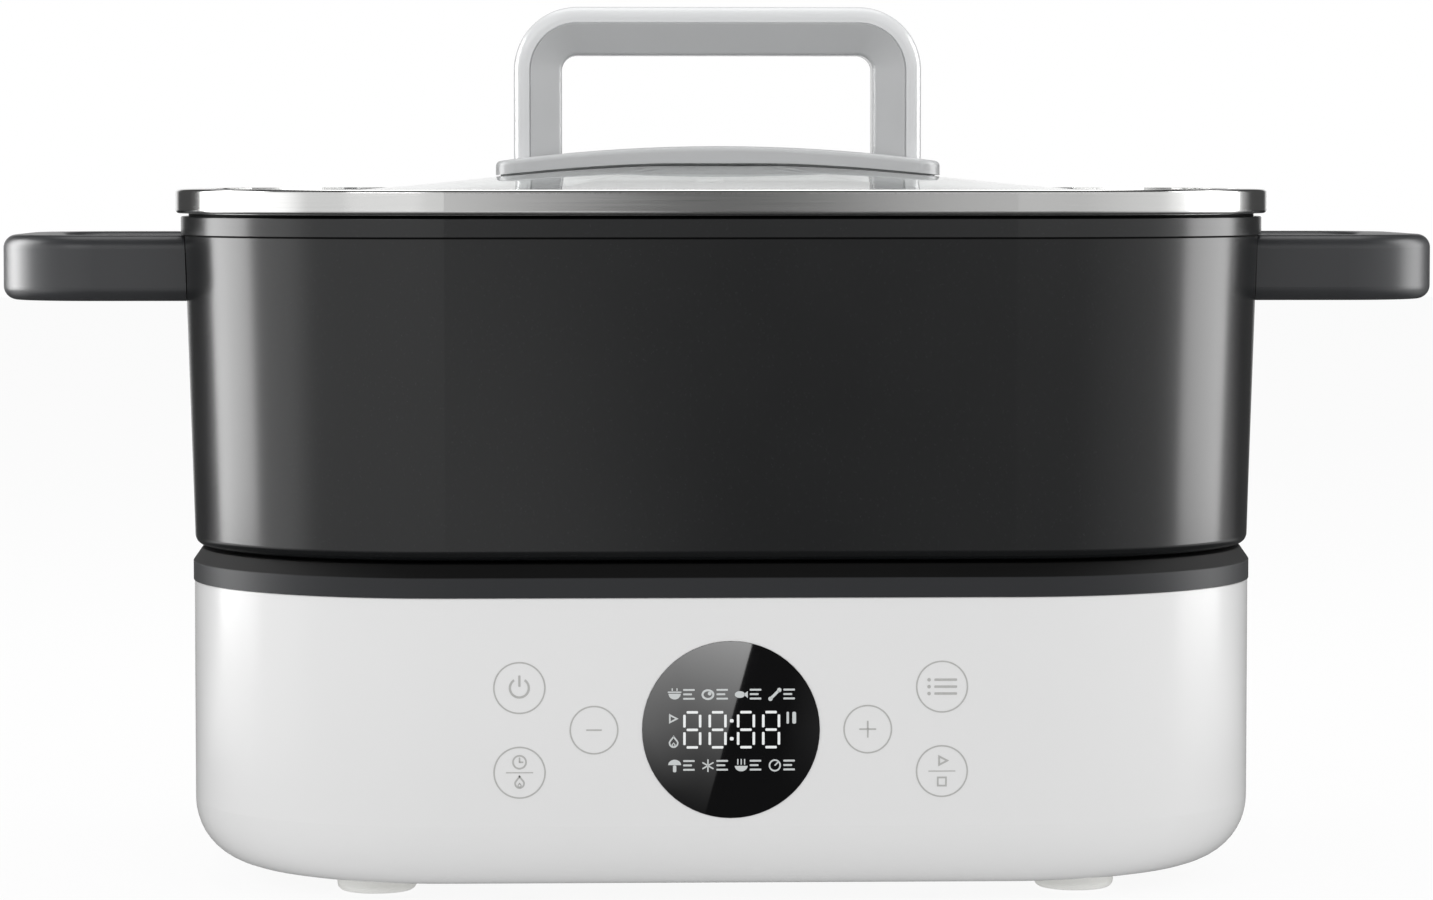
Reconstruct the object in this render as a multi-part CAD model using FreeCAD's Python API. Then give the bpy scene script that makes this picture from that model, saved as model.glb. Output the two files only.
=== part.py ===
"""Electric hot pot: a heated base, a lift-off cooking pot with two side handles, and a glass lid.

Millimetres, +Z up, origin on the ground under the middle of the object. The front faces -Y.
Most pieces share one rounded-rectangle plan outline, and follow it at an offset: plus is outwards.
"""
import FreeCAD
import Part
import math
import os

V = FreeCAD.Vector
UP = V(0, 0, 1)
FRONTWARDS = V(0, -1, 0)
QUADRANTS = ((1, 1), (-1, 1), (-1, -1), (1, -1))

# ---- Plan outline ----------------------------------------------------------------------------
HALF_WIDTH = 162.8          # housing, middle to side
HALF_DEPTH = 128.0          # housing, middle to front
CORNER_RADIUS = 79.0

# ---- Clearances ------------------------------------------------------------------------------
SHANK_PLAY = 0.05           # screw shank to its pilot hole, per side
HOLE_PLAY = 0.3             # screw shank to a through hole, per side
LOCATE_PLAY = 0.2           # a moulded part that locates inside another
SHADOW_GAP = 0.15           # side handle to pot wall
SLIDE_PLAY = 0.05           # sensor stem to its guide
PILOT_SPARE = 0.5           # pilot hole beyond its screw's tip
PAST = 1.0                  # how far a cutting tool runs past the face that it opens
TINY = 1e-6

# ---- Housing shell ---------------------------------------------------------------------------
SHELL_LOW = 5.0             # underside above the ground
SHELL_HEIGHT = 86.9
SHELL_WALL = 2.6
SHELL_BOTTOM_RADIUS = 19.3
SHELL_INNER_RADIUS = 14.0
COVER_MARGIN = 1.5          # flat band between the bottom radius and the cover
LEDGE_WIDTH = 9.5
LEDGE_THICKNESS = 2.5
SHELL_TOP_ROUND = 0.4
SHELL_TOP = SHELL_LOW + SHELL_HEIGHT

# ---- Bottom cover and feet -------------------------------------------------------------------
COVER_THICKNESS = 2.8
COVER_PLAY = 0.4
COVER_TOP = SHELL_LOW + COVER_THICKNESS
LEDGE_TOP = COVER_TOP + LEDGE_THICKNESS
COVER_EDGE = -(SHELL_BOTTOM_RADIUS + COVER_MARGIN)
LEDGE_EDGE = COVER_EDGE - LEDGE_WIDTH
SLOT_COUNT = 12
SLOT_PITCH = 11.0
SLOT_WIDTH = 3.0
SLOT_LENGTH = 26.0
SLOT_ROW_Y = -34.0
FOOT_FROM_SIDE = 57.1
FOOT_FROM_FRONT = 42.0
FOOT_RADIUS = 12.0
FOOT_FLAT_RADIUS = 9.75
FOOT_STEM_RADIUS = 3.5
FOOT_BARB_RADIUS = 4.3
FOOT_BARB_HEIGHT = 1.6

# ---- Deck ------------------------------------------------------------------------------------
DECK_PROUD = 0.3            # outwards of the shell
DECK_BAND = 5.8             # upright band
DECK_SLOPE_HEIGHT = 4.0
DECK_SLOPE_INSET = 2.8
DECK_THICKNESS = 3.0
DECK_SKIRT_DEPTH = 6.0
DECK_SKIRT_WALL = 2.0
DECK_EDGE_ROUND = 0.6
DECK_TOP = SHELL_TOP + DECK_BAND + DECK_SLOPE_HEIGHT
DECK_UNDER = DECK_TOP - DECK_THICKNESS
POST_RADIUS = 4.5
POST_FROM_SIDE = 102.8      # corner posts, housing's side to the post
POST_SPREAD_X = HALF_WIDTH - POST_FROM_SIDE
POST_INSET = LEDGE_WIDTH / 2 - COVER_EDGE
POST_SCREW_DEPTH = 12.0

# ---- Heating plate ---------------------------------------------------------------------------
PLATE_RADIUS = 90.0
PLATE_THICKNESS = 6.0
PLATE_PLAY = 1.5            # to the deck's opening
PLATE_ROUND = 0.8
SEAT_GAP = 1.0              # pot underside above the deck
SEAT_RECESS = 1.5           # the pot's underside drops this far round the plate
RECESS_PLAY = 1.0
POT_LOW = DECK_TOP + SEAT_GAP
PLATE_TOP = POT_LOW + SEAT_RECESS
PLATE_UNDER = PLATE_TOP - PLATE_THICKNESS
ELEMENT_RING_RADIUS = 62.0
ELEMENT_RADIUS = 3.6
ELEMENT_COVER = 3.4         # cast metal left round the tube
ELEMENT_DROP = 4.9          # tube axis below the plate
ELEMENT_BEND = 8.0
ELEMENT_GAP_ANGLE = 36.0    # between the tube's two ends, at the front
ELEMENT_TAIL_LOW = 80.0
TERMINAL_RADIUS = 1.4
TERMINAL_LENGTH = 7.0
LEG_COUNT = 3
LEG_RING_RADIUS = 80.0
LEG_RADIUS = 5.0
LEG_LENGTH = 12.0

# ---- Heat shield -----------------------------------------------------------------------------
SHIELD_RADIUS = 108.0
SHIELD_THICKNESS = 1.0
SHIELD_LIP = 4.0
SHIELD_TOP = PLATE_UNDER - LEG_LENGTH
SHIELD_UNDER = SHIELD_TOP - SHIELD_THICKNESS
BOSS_RING_RADIUS = 101.0
BOSS_RADIUS = 4.0
TERMINAL_HOLE_RADIUS = 7.0
SHIELD_SCREW_DEPTH = 7.0
EARTH_STUD_X = 38.0
EARTH_STUD_Y = 62.0
EARTH_STUD_RADIUS = 2.0
EARTH_STUD_LENGTH = 5.0

# ---- Temperature sensor ----------------------------------------------------------------------
SENSOR_CAP_RADIUS = 12.0
SENSOR_CAP_THICKNESS = 3.0
SENSOR_HOLE_PLAY = 1.0
SENSOR_CONTACT_GAP = 0.3    # cap to pot underside
SENSOR_STEM_RADIUS = 7.0
SENSOR_BORE_RADIUS = 3.5
GUIDE_WALL = 3.0
GUIDE_FLANGE_RADIUS = 15.0
GUIDE_FLANGE_THICKNESS = 1.5
GUIDE_LENGTH = 16.0
CLIP_RADIUS = 10.0
CLIP_THICKNESS = 1.0
CLIP_GROOVE = 0.8
CLIP_FREE_TRAVEL = 2.2
STEM_TAIL = 2.0
SPRING_RADIUS = 9.4
SPRING_WIRE = 0.7
SPRING_TURNS = 5
THERMISTOR_LENGTH = 4.0
SENSOR_CAP_SKIN = 2.0       # metal between the thermistor and the cap's top
SENSOR_TRAVEL = 3.0         # how far the cap can be pressed down
SENSOR_TOP = PLATE_TOP - SENSOR_CONTACT_GAP
SENSOR_CAP_UNDER = SENSOR_TOP - SENSOR_CAP_THICKNESS
GUIDE_TOP = SHIELD_TOP + GUIDE_FLANGE_THICKNESS
GUIDE_LOW = GUIDE_TOP - GUIDE_LENGTH
CLIP_TOP = GUIDE_LOW - CLIP_FREE_TRAVEL
STEM_LOW = CLIP_TOP - CLIP_THICKNESS - STEM_TAIL
THERMISTOR_TOP = SENSOR_TOP - SENSOR_CAP_SKIN
GUIDE_OUTER_RADIUS = SENSOR_STEM_RADIUS + SLIDE_PLAY + GUIDE_WALL

# ---- Thermal cut-out -------------------------------------------------------------------------
CUTOUT_X = -38.0
CUTOUT_RADIUS = 8.0
CUTOUT_HEIGHT = 9.0
CUTOUT_CAP_RADIUS = 6.5
CUTOUT_CAP_HEIGHT = 3.0
CUTOUT_TAB_SPREAD = 4.5
CUTOUT_TAB_LENGTH = 6.0
CUTOUT_TAB_WIDTH = 4.0

# ---- Pot -------------------------------------------------------------------------------------
POT_HEIGHT = 100.5
POT_WALL = 3.0
POT_FLOOR = 5.0
POT_BOTTOM_OFFSET = -0.4
POT_TOP_OFFSET = 2.5
POT_EDGE_RADIUS = 3.0
POT_INNER_RADIUS = 12.0
LIP_PROUD = 1.1
LIP_HEIGHT = 5.5
LIP_ROUND = 0.4
POT_TOP = POT_LOW + POT_HEIGHT
LIP_UNDER = POT_TOP - LIP_HEIGHT
FLOOR_OVERLAP = 20.0        # offset at which the wall section gives way to the flat floor
MOUTH_OFFSET = POT_TOP_OFFSET - POT_WALL

# ---- Side handles ----------------------------------------------------------------------------
HANDLE_REACH = 60.5         # beyond the housing's side
HANDLE_HALF_SPAN = 57.5
HANDLE_BAR_WIDTH = 15.0
HANDLE_BAR_HEIGHT = 20.2
HANDLE_BELOW_LIP = 0.3
HANDLE_OUTER_RADIUS = 30.0
HANDLE_EDGE_ROUND = 4.2
LUG_LENGTH = 17.0           # cast tongue from the pot wall into the handle's arm
LUG_WIDTH = 8.0
LUG_HEIGHT = 9.0
LUG_SCREW_DEPTH = 7.0
LUG_SCREW_SHARE = 0.6       # the screw's place along the lug
HANDLE_RECESS_DEPTH = 3.0   # for the screw's head, in the arm's underside
HANDLE_TOP = LIP_UNDER - HANDLE_BELOW_LIP
HANDLE_LOW = HANDLE_TOP - HANDLE_BAR_HEIGHT
HANDLE_MIDDLE = (HANDLE_TOP + HANDLE_LOW) / 2
HANDLE_END_X = HALF_WIDTH + HANDLE_REACH
ARM_Y = HANDLE_HALF_SPAN - HANDLE_BAR_WIDTH / 2
HANDLE_SCREW_SEAT = HANDLE_LOW + HANDLE_RECESS_DEPTH

# ---- Lid rim, seal and glass -----------------------------------------------------------------
LID_GAP = 1.0               # rim above the pot's lip
RIM_HEIGHT = 7.4
RIM_OFFSET = 5.2
RIM_SHEET = 0.8
RIM_TOP_ROUND = 1.1
RIM_BOTTOM_ROUND = 1.1
RIM_FLANGE = 8.7            # top flange, over the glass
RIM_SEAT_WIDTH = 2.4        # joggle that stands on the pot's lip
RIM_SKIRT_DEPTH = 5.0       # inside the pot's mouth
RIM_SKIRT_PLAY = 0.7
RIM_LOW = POT_TOP + LID_GAP
RIM_TOP = RIM_LOW + RIM_HEIGHT
GLASS_THICKNESS = 4.0
GLASS_EDGE_SETBACK = 3.4    # inside the rim's outer face
SEAL_PLAY = 0.1
SEAL_OVER_GLASS = 1.0
SEAL_LOWER_LAP = 1.3
GLASS_EDGE_OFFSET = RIM_OFFSET - GLASS_EDGE_SETBACK
GLASS_EDGE_TOP = RIM_TOP - RIM_SHEET - SEAL_OVER_GLASS
GLASS_EDGE_LOW = GLASS_EDGE_TOP - GLASS_THICKNESS
DOME_RISE = 10.0
DOME_REACH = 150.0          # along X, where the dome meets the flat edge band
DOME_SHARES = (1.0, 0.9, 0.8, 0.68, 0.55, 0.42, 0.3, 0.18, 0.06)
VENT_Y = 70.0
VENT_HOLE_RADIUS = 1.6
VENT_TUBE_RADIUS = 3.0
VENT_FLANGE_RADIUS = 5.5
VENT_COLLAR_RADIUS = 4.5    # rolled edge under the glass
VENT_FLANGE_THICKNESS = 0.8

# ---- Lid handle ------------------------------------------------------------------------------
GASKET_THICKNESS = 0.5
GASKET_INSET = 1.5
SADDLE_HALF_LENGTH = 70.2
SADDLE_HALF_DEPTH = 21.0
SADDLE_CORNER_RADIUS = 9.0
SADDLE_THICKNESS = 4.6      # over the dome's crown
SADDLE_DROP = 4.8           # crown to end, along its top
SADDLE_ROUND = 1.6
ARCH_HALF_LENGTH = 64.5
ARCH_DEPTH = 24.0
ARCH_BAR = 15.2
ARCH_BAND = 5.4             # outer band, upright in front view
ARCH_SLOPE = 5.0            # how far the inner face leans back, each side
ARCH_RADIUS = 20.0
ARCH_HEIGHT = 44.0          # above the saddle's crown
ARCH_ROUND = 3.4
ARCH_HEEL_ROUND = 2.0
ARCH_GROOVE_WIDTH = 0.5     # between the outer band and the inner faces
ARCH_GROOVE_DEPTH = 0.7
CROWN_TOP = GLASS_EDGE_TOP + DOME_RISE
SADDLE_TOP = CROWN_TOP + GASKET_THICKNESS + SADDLE_THICKNESS
ARCH_TOP = SADDLE_TOP + ARCH_HEIGHT
LEG_X = ARCH_HALF_LENGTH - ARCH_BAR / 2
BUSH_RADIUS = 8.0
BUSH_NECK_RADIUS = 3.6
BUSH_DROP = 10.6            # crown to the bush's flat underside
BUSH_LOW = CROWN_TOP - BUSH_DROP
WASHER_RADIUS = 7.0
WASHER_THICKNESS = 1.0
LID_SCREW_DEPTH = 10.0      # above the saddle's crown, in the arch's leg
LID_SCREW_TOP = SADDLE_TOP + LID_SCREW_DEPTH

# ---- Display and touch keys ------------------------------------------------------------------
PANEL_Z = 52.9
LENS_RADIUS = 26.1
LENS_THICKNESS = 1.5
LENS_PROUD = 0.2
LENS_PLAY = 0.1
LENS_LEDGE = 3.0
MODULE_RADIUS = 22.0
DISPLAY_GAP = 8.0           # shell's inner face to the display board
DISPLAY_HALF_LENGTH = 76.0
DISPLAY_HALF_HEIGHT = 22.5
BOARD_THICKNESS = 1.6
DISPLAY_BOSS_X = 71.5
DISPLAY_BOSS_Z = 18.5
KEY_X = 61.8
KEY_Z = 12.4
PLUS_MINUS_X = 40.3
KEY_POST_RADIUS = 4.5
KEY_POST_BORE_RADIUS = 2.5
SHELL_INSIDE_Y = SHELL_WALL - HALF_DEPTH
DISPLAY_FRONT_Y = SHELL_INSIDE_Y + DISPLAY_GAP
DISPLAY_BACK_Y = DISPLAY_FRONT_Y + BOARD_THICKNESS
LENS_BACK_Y = LENS_THICKNESS - LENS_PROUD - HALF_DEPTH
DISPLAY_SCREW_DEPTH = 6.0
SMALL_BOSS_RADIUS = 3.5

# ---- Mains inlet -----------------------------------------------------------------------------
INLET_Z = 46.0
INLET_FLANGE_LENGTH = 50.0
INLET_FLANGE_HEIGHT = 22.6
INLET_FLANGE_THICKNESS = 2.5
INLET_BODY_WIDTH = 27.6
INLET_BODY_HEIGHT = 19.6
INLET_BODY_DEPTH = 24.0
INLET_CAVITY_WIDTH = 24.4
INLET_CAVITY_HEIGHT = 16.4
INLET_CAVITY_DEPTH = 17.0
INLET_CHAMFER = 4.6
INLET_SCREW_X = 20.0
PIN_WIDTH = 2.0
PIN_HEIGHT = 4.0
PIN_SPREAD = 7.0
PIN_EARTH_RISE = 4.0
PIN_REACH = 15.0            # inside the cavity
PIN_TAIL = 7.0
INLET_BOSS_LENGTH = 6.0
INLET_SCREW_LENGTH = 9.0
INLET_FLANGE_ROUND = 3.0
INLET_BACK_Y = HALF_DEPTH - INLET_BODY_DEPTH
INLET_FLOOR_Y = HALF_DEPTH + INLET_FLANGE_THICKNESS - INLET_CAVITY_DEPTH

# ---- Power board: parts stand at (from its left, from its front), and a block is width, depth, height
BOARD_WIDTH = 90.0
BOARD_DEPTH = 80.0
BOARD_FROM_SIDE = 44.8      # housing's side to the board
BOARD_FROM_REAR = 44.0
BOARD_LEFT = BOARD_FROM_SIDE - HALF_WIDTH
BOARD_RIGHT = BOARD_LEFT + BOARD_WIDTH
BOARD_BACK = HALF_DEPTH - BOARD_FROM_REAR
BOARD_FRONT = BOARD_BACK - BOARD_DEPTH
BOARD_POST_HEIGHT = 8.2
BOARD_POST_RADIUS = 3.5
BOARD_HOLE_INSET = 5.0
BOARD_LOW = COVER_TOP + BOARD_POST_HEIGHT
BOARD_TOP = BOARD_LOW + BOARD_THICKNESS
TAB_FROM_RIGHT = 7.0
TAB_PLACES = (14.0, 26.0, 54.0, 66.0)
TAB_X = BOARD_RIGHT - TAB_FROM_RIGHT
TAB_YS = tuple(BOARD_FRONT + place for place in TAB_PLACES)
TAB_HEIGHT = 8.0
TAB_WIDTH = 6.3
TAB_THICKNESS = 0.8
PLUG_PLACE = 42.0
PLUG_Y = BOARD_FRONT + PLUG_PLACE
SOCKET_WALL = 2.0
SOCKET_DEPTH = 8.0
SOCKET_HEIGHT = 7.0
CORE_PLACE = (10.0, 46.0)
CORE_SIZE = (32.0, 14.0, 26.0)
WINDING_PLACE = (14.0, 40.0)
WINDING_SIZE = (24.0, 26.0, 20.0)
RELAY_PLACE = (52.0, 56.0)
RELAY_SIZE = (19.0, 15.5, 15.5)
FILM_PLACE = (50.0, 38.0)
FILM_SIZE = (26.0, 9.0, 17.0)
CAN_PLACES = ((24.0, 14.0), (38.0, 14.0))
CAN_RADIUS = 5.0
CAN_HEIGHT = 16.0
BUZZER_PLACE = (20.0, 30.0)
BUZZER_RADIUS = 6.0
BUZZER_HEIGHT = 8.0
BUZZER_HOLE_RADIUS = 1.0
BUZZER_HOLE_DEPTH = 2.0
RIBBON_FROM_RIGHT = 16.0
RIBBON_X = BOARD_RIGHT - RIBBON_FROM_RIGHT
RIBBON_HIGH_Z = 46.0
RIBBON_RUN = 18.0
RIBBON_BEND = 7.0
RIBBON_WIDTH = 12.0
RIBBON_THICKNESS = 1.0
LEAD_RADIUS = 1.5
SENSOR_LEAD_RADIUS = 1.2
LEAD_RUN = 12.0             # straight stretch where a lead leaves its terminal
LEAD_RISE = 18.0
BEND_SHARE = 0.45           # of the shorter run beside a bend

# ---- Screws: head radius, head height, shank radius -------------------------------------------
BIG_SCREW = (3.4, 2.0, 1.75)
SMALL_SCREW = (2.6, 1.6, 1.3)
LID_SCREW = (4.0, 2.4, 2.0)
CROSS_WIDTH = 0.8
CROSS_DEPTH = 0.9
CROSS_SHARE = 0.6           # the cross's arm, of the head's radius
HEAD_ROUND_SHARE = 0.6      # of the head's height
TIP_SHARE = 0.35            # the tip's flat, of the shank's radius


# ---- Shape helpers ---------------------------------------------------------------------------
def corner_arc(before, corner, after, radius):
    """Give the start, middle and end of the arc that rounds a corner."""
    back = (before - corner).normalize()
    ahead = (after - corner).normalize()
    half_angle = back.getAngle(ahead) / 2
    bisector = (back + ahead).normalize()
    reach = radius / math.tan(half_angle)
    middle = corner + bisector * (radius / math.sin(half_angle) - radius)
    return corner + back * reach, middle, corner + ahead * reach


def rounded_wire(corners, closed=True):
    """Join (point, radius) corners by straight runs and tangent arcs."""
    count = len(corners)
    bends = []
    for i, (point, radius) in enumerate(corners):
        open_end = not closed and i in (0, count - 1)
        if radius == 0 or open_end:
            bends.append((point, None, point))
        else:
            bends.append(corner_arc(corners[i - 1][0], point, corners[(i + 1) % count][0], radius))
    edges = []
    for i, (start, middle, end) in enumerate(bends):
        if middle is not None:
            edges.append(Part.Arc(start, middle, end).toShape())
        following = bends[(i + 1) % count][0]
        if (closed or i < count - 1) and end.distanceToPoint(following) > TINY:
            edges.append(Part.makeLine(end, following))
    return Part.Wire(edges)


def section(points, shift=0.0):
    """Make an upright face from (distance, height[, radius]) points."""
    corners = [(V(p[0] + shift, 0, p[1]), p[2] if len(p) > 2 else 0) for p in points]
    return Part.Face(rounded_wire(corners))


def merged(pieces):
    """Fuse pieces that touch into one clean solid."""
    return pieces[0].multiFuse(pieces[1:]).removeSplitter().Solids[0]


def turned(shape, degrees, shift=V(0, 0, 0)):
    """Copy a shape, turn it about Z, then shift it."""
    copy = shape.copy()
    copy.rotate(V(0, 0, 0), UP, degrees)
    copy.translate(shift)
    return copy


def ring(points):
    """Sweep an (offset, height[, radius]) section round the plan outline."""
    run_x = HALF_WIDTH - CORNER_RADIUS
    run_y = HALF_DEPTH - CORNER_RADIUS
    corner = section(points, CORNER_RADIUS).revolve(V(0, 0, 0), UP, 90)
    side = section(points, HALF_WIDTH).extrude(V(0, 2 * run_y, 0))
    side.translate(V(0, -run_y, 0))
    front = section(points, HALF_DEPTH).extrude(V(0, 2 * run_x, 0))
    front.translate(V(0, -run_x, 0))
    pieces = [turned(side, 0), turned(side, 180), turned(front, 90), turned(front, 270)]
    for quarter, (sign_x, sign_y) in enumerate(QUADRANTS):
        pieces.append(turned(corner, 90 * quarter, V(sign_x * run_x, sign_y * run_y, 0)))
    return merged(pieces)


def slab(offset, low, high):
    """Make a solid plate with the plan outline at an offset."""
    radius = CORNER_RADIUS + offset
    corners = [(V(sx * (HALF_WIDTH + offset), sy * (HALF_DEPTH + offset), low), radius)
               for sx, sy in QUADRANTS]
    return Part.Face(rounded_wire(corners)).extrude(V(0, 0, high - low))


def box(x_low, x_high, y_low, y_high, z_low, z_high):
    """Make a block from its limits."""
    return Part.makeBox(x_high - x_low, y_high - y_low, z_high - z_low, V(x_low, y_low, z_low))


def rod(x, y, low, high, radius):
    """Make an upright cylinder."""
    return Part.makeCylinder(radius, high - low, V(x, y, low))


def rod_y(x, z, front, back, radius):
    """Make a cylinder along Y."""
    return Part.makeCylinder(radius, back - front, V(x, front, z), V(0, 1, 0))


def lathe(points):
    """Turn a (radius, height[, rounding]) section about Z."""
    return section(points).revolve(V(0, 0, 0), UP, 360)


def on_ring(radius, degrees):
    """Give the X and Y of a point on a circle round the middle."""
    angle = math.radians(degrees)
    return radius * math.cos(angle), radius * math.sin(angle)


def screw(kind, head_seat, direction, length):
    """Make a pan-head screw: its head sits at head_seat and its shank runs along direction."""
    head_radius, head_height, shank_radius = kind
    body = lathe([
        (0, -head_height),
        (head_radius, -head_height, head_height * HEAD_ROUND_SHARE),
        (head_radius, 0),
        (shank_radius, 0),
        (shank_radius, length - shank_radius),
        (shank_radius * TIP_SHARE, length),
        (0, length),
    ])
    arm = head_radius * CROSS_SHARE
    for half_x, half_y in ((arm, CROSS_WIDTH / 2), (CROSS_WIDTH / 2, arm)):
        body = body.cut(box(-half_x, half_x, -half_y, half_y, -head_height, CROSS_DEPTH - head_height))
    body.Placement = FreeCAD.Placement(head_seat, FreeCAD.Rotation(UP, direction))
    return body


def spring(radius, wire, turns, length):
    """Make a coil spring whose wire starts centred on z = 0."""
    rise = length - 2 * wire
    coil = Part.makeHelix(rise / turns, rise, radius)
    mouth = Part.Wire(Part.makeCircle(wire, V(radius, 0, 0), V(0, 1, 0)))
    return coil.makePipeShell([mouth], True, True)


def lead(points, radius):
    """Sweep a round lead along points, with each bend as large as its runs allow."""
    corners = [(points[0], 0)]
    for before, corner, after in zip(points, points[1:], points[2:]):
        turn = (corner - before).getAngle(after - corner)
        run = min(before.distanceToPoint(corner), corner.distanceToPoint(after))
        corners.append((corner, BEND_SHARE * run / math.tan(turn / 2)))
    corners.append((points[-1], 0))
    path = rounded_wire(corners, closed=False)
    mouth = Part.Wire(Part.makeCircle(radius, points[0], points[1] - points[0]))
    return path.makePipeShell([mouth], True, False)


def mirrored_pair(x):
    """Give both signs of an X place."""
    return (-x, x)


# ---- Places ----------------------------------------------------------------------------------
def post_places():
    """Give the housing screw posts' centres, on the middle of the shell's ledge."""
    side = HALF_WIDTH - POST_INSET
    end = HALF_DEPTH - POST_INSET
    return [(-side, 0), (side, 0)] + [(sx * POST_SPREAD_X, sy * end) for sx, sy in QUADRANTS]


def foot_places():
    """Give the feet's centres."""
    return [(sx * (HALF_WIDTH - FOOT_FROM_SIDE), sy * (HALF_DEPTH - FOOT_FROM_FRONT))
            for sx, sy in QUADRANTS]


def leg_places():
    """Give the heating plate legs' centres."""
    return [on_ring(LEG_RING_RADIUS, 90 + 360 * i / LEG_COUNT) for i in range(LEG_COUNT)]


def boss_places():
    """Give the centres of the deck's bosses that carry the heat shield."""
    return [on_ring(BOSS_RING_RADIUS, 45 + 90 * i) for i in range(4)]


def board_places():
    """Give the power board's screw holes."""
    return [(x, y) for x in (BOARD_LEFT + BOARD_HOLE_INSET, BOARD_RIGHT - BOARD_HOLE_INSET)
            for y in (BOARD_FRONT + BOARD_HOLE_INSET, BOARD_BACK - BOARD_HOLE_INSET)]


def display_boss_places():
    """Give the display board's screw holes, as X and Z."""
    return [(sx * DISPLAY_BOSS_X, PANEL_Z + sz * DISPLAY_BOSS_Z) for sx, sz in QUADRANTS]


def key_places():
    """Give the six touch keys' centres, as X and Z."""
    corners = [(sx * KEY_X, PANEL_Z + sz * KEY_Z) for sx, sz in QUADRANTS]
    return corners + [(x, PANEL_Z) for x in mirrored_pair(PLUS_MINUS_X)]


def lug_places():
    """Give the side and Y of each of the pot's four handle lugs."""
    return [(sx, sy * ARM_Y) for sx, sy in QUADRANTS]


def element_end(side):
    """Give a heating tube end's point on the ring and the way it turns off, for side -1 or +1."""
    angle = -90 + side * ELEMENT_GAP_ANGLE / 2
    x, y = on_ring(ELEMENT_RING_RADIUS, angle)
    tangent = V(*on_ring(1, angle + 90), 0) * -side
    return V(x, y, PLATE_UNDER - ELEMENT_DROP), tangent


def tail_place(side):
    """Give the X and Y of a heating tube tail."""
    point, tangent = element_end(side)
    tail = point + tangent * ELEMENT_BEND
    return tail.x, tail.y


# ---- Housing ---------------------------------------------------------------------------------
def base_shell():
    """Make the white outer housing: an upright wall with a soft bottom edge and an inner ledge."""
    body = ring([
        (0, SHELL_TOP, SHELL_TOP_ROUND),
        (0, SHELL_LOW, SHELL_BOTTOM_RADIUS),
        (COVER_EDGE, SHELL_LOW),
        (COVER_EDGE, COVER_TOP),
        (LEDGE_EDGE, COVER_TOP),
        (LEDGE_EDGE, LEDGE_TOP),
        (-SHELL_WALL, LEDGE_TOP, SHELL_INNER_RADIUS),
        (-SHELL_WALL, SHELL_TOP),
    ])
    inside_rear = HALF_DEPTH - SHELL_WALL
    bosses = [rod_y(x, z, SHELL_INSIDE_Y - SHELL_WALL / 2, DISPLAY_FRONT_Y, SMALL_BOSS_RADIUS)
              for x, z in display_boss_places()]
    bosses += [rod_y(x, INLET_Z, inside_rear - INLET_BOSS_LENGTH, inside_rear + SHELL_WALL / 2,
                     SMALL_BOSS_RADIUS) for x in mirrored_pair(INLET_SCREW_X)]
    body = merged([body] + bosses)
    pilot = SMALL_SCREW[2] + SHANK_PLAY
    half_width = INLET_BODY_WIDTH / 2 + LOCATE_PLAY
    half_height = INLET_BODY_HEIGHT / 2 + LOCATE_PLAY
    cuts = [
        rod_y(0, PANEL_Z, -HALF_DEPTH - PAST, LENS_BACK_Y, LENS_RADIUS + LENS_PLAY),
        rod_y(0, PANEL_Z, -HALF_DEPTH - PAST, SHELL_INSIDE_Y + PAST, LENS_RADIUS - LENS_LEDGE),
        box(-half_width, half_width, inside_rear - PAST, HALF_DEPTH + PAST,
            INLET_Z - half_height, INLET_Z + half_height),
    ]
    cuts += [rod_y(x, z, DISPLAY_FRONT_Y - DISPLAY_SCREW_DEPTH - PAST, DISPLAY_FRONT_Y + PAST, pilot)
             for x, z in display_boss_places()]
    cuts += [rod_y(x, INLET_Z, inside_rear - INLET_BOSS_LENGTH - PAST, HALF_DEPTH + PAST, pilot)
             for x in mirrored_pair(INLET_SCREW_X)]
    cuts += [rod(x, y, COVER_TOP - PAST, LEDGE_TOP + PAST, BIG_SCREW[2] + HOLE_PLAY)
             for x, y in post_places()]
    return body.cut(cuts)


def bottom_cover():
    """Make the bottom cover, with vent slots and the power board's posts."""
    posts = [rod(x, y, COVER_TOP - COVER_THICKNESS / 2, BOARD_LOW, BOARD_POST_RADIUS)
             for x, y in board_places()]
    body = merged([slab(COVER_EDGE - COVER_PLAY, SHELL_LOW, COVER_TOP)] + posts)
    head_radius, head_height, shank_radius = BIG_SCREW
    cuts = [rod(x, y, SHELL_LOW - PAST, COVER_TOP + PAST, FOOT_STEM_RADIUS + SHANK_PLAY)
            for x, y in foot_places()]
    for x, y in post_places():
        cuts.append(rod(x, y, SHELL_LOW - PAST, SHELL_LOW + head_height, head_radius + HOLE_PLAY))
        cuts.append(rod(x, y, SHELL_LOW, COVER_TOP + PAST, shank_radius + HOLE_PLAY))
    cuts += [rod(x, y, COVER_TOP, BOARD_LOW + PAST, SMALL_SCREW[2] + SHANK_PLAY)
             for x, y in board_places()]
    for i in range(SLOT_COUNT):
        x = (i - (SLOT_COUNT - 1) / 2) * SLOT_PITCH
        for y in mirrored_pair(SLOT_ROW_Y):
            cuts.append(box(x - SLOT_WIDTH / 2, x + SLOT_WIDTH / 2,
                            y - SLOT_LENGTH / 2, y + SLOT_LENGTH / 2, SHELL_LOW - PAST, COVER_TOP + PAST))
    return body.cut(cuts)


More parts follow.
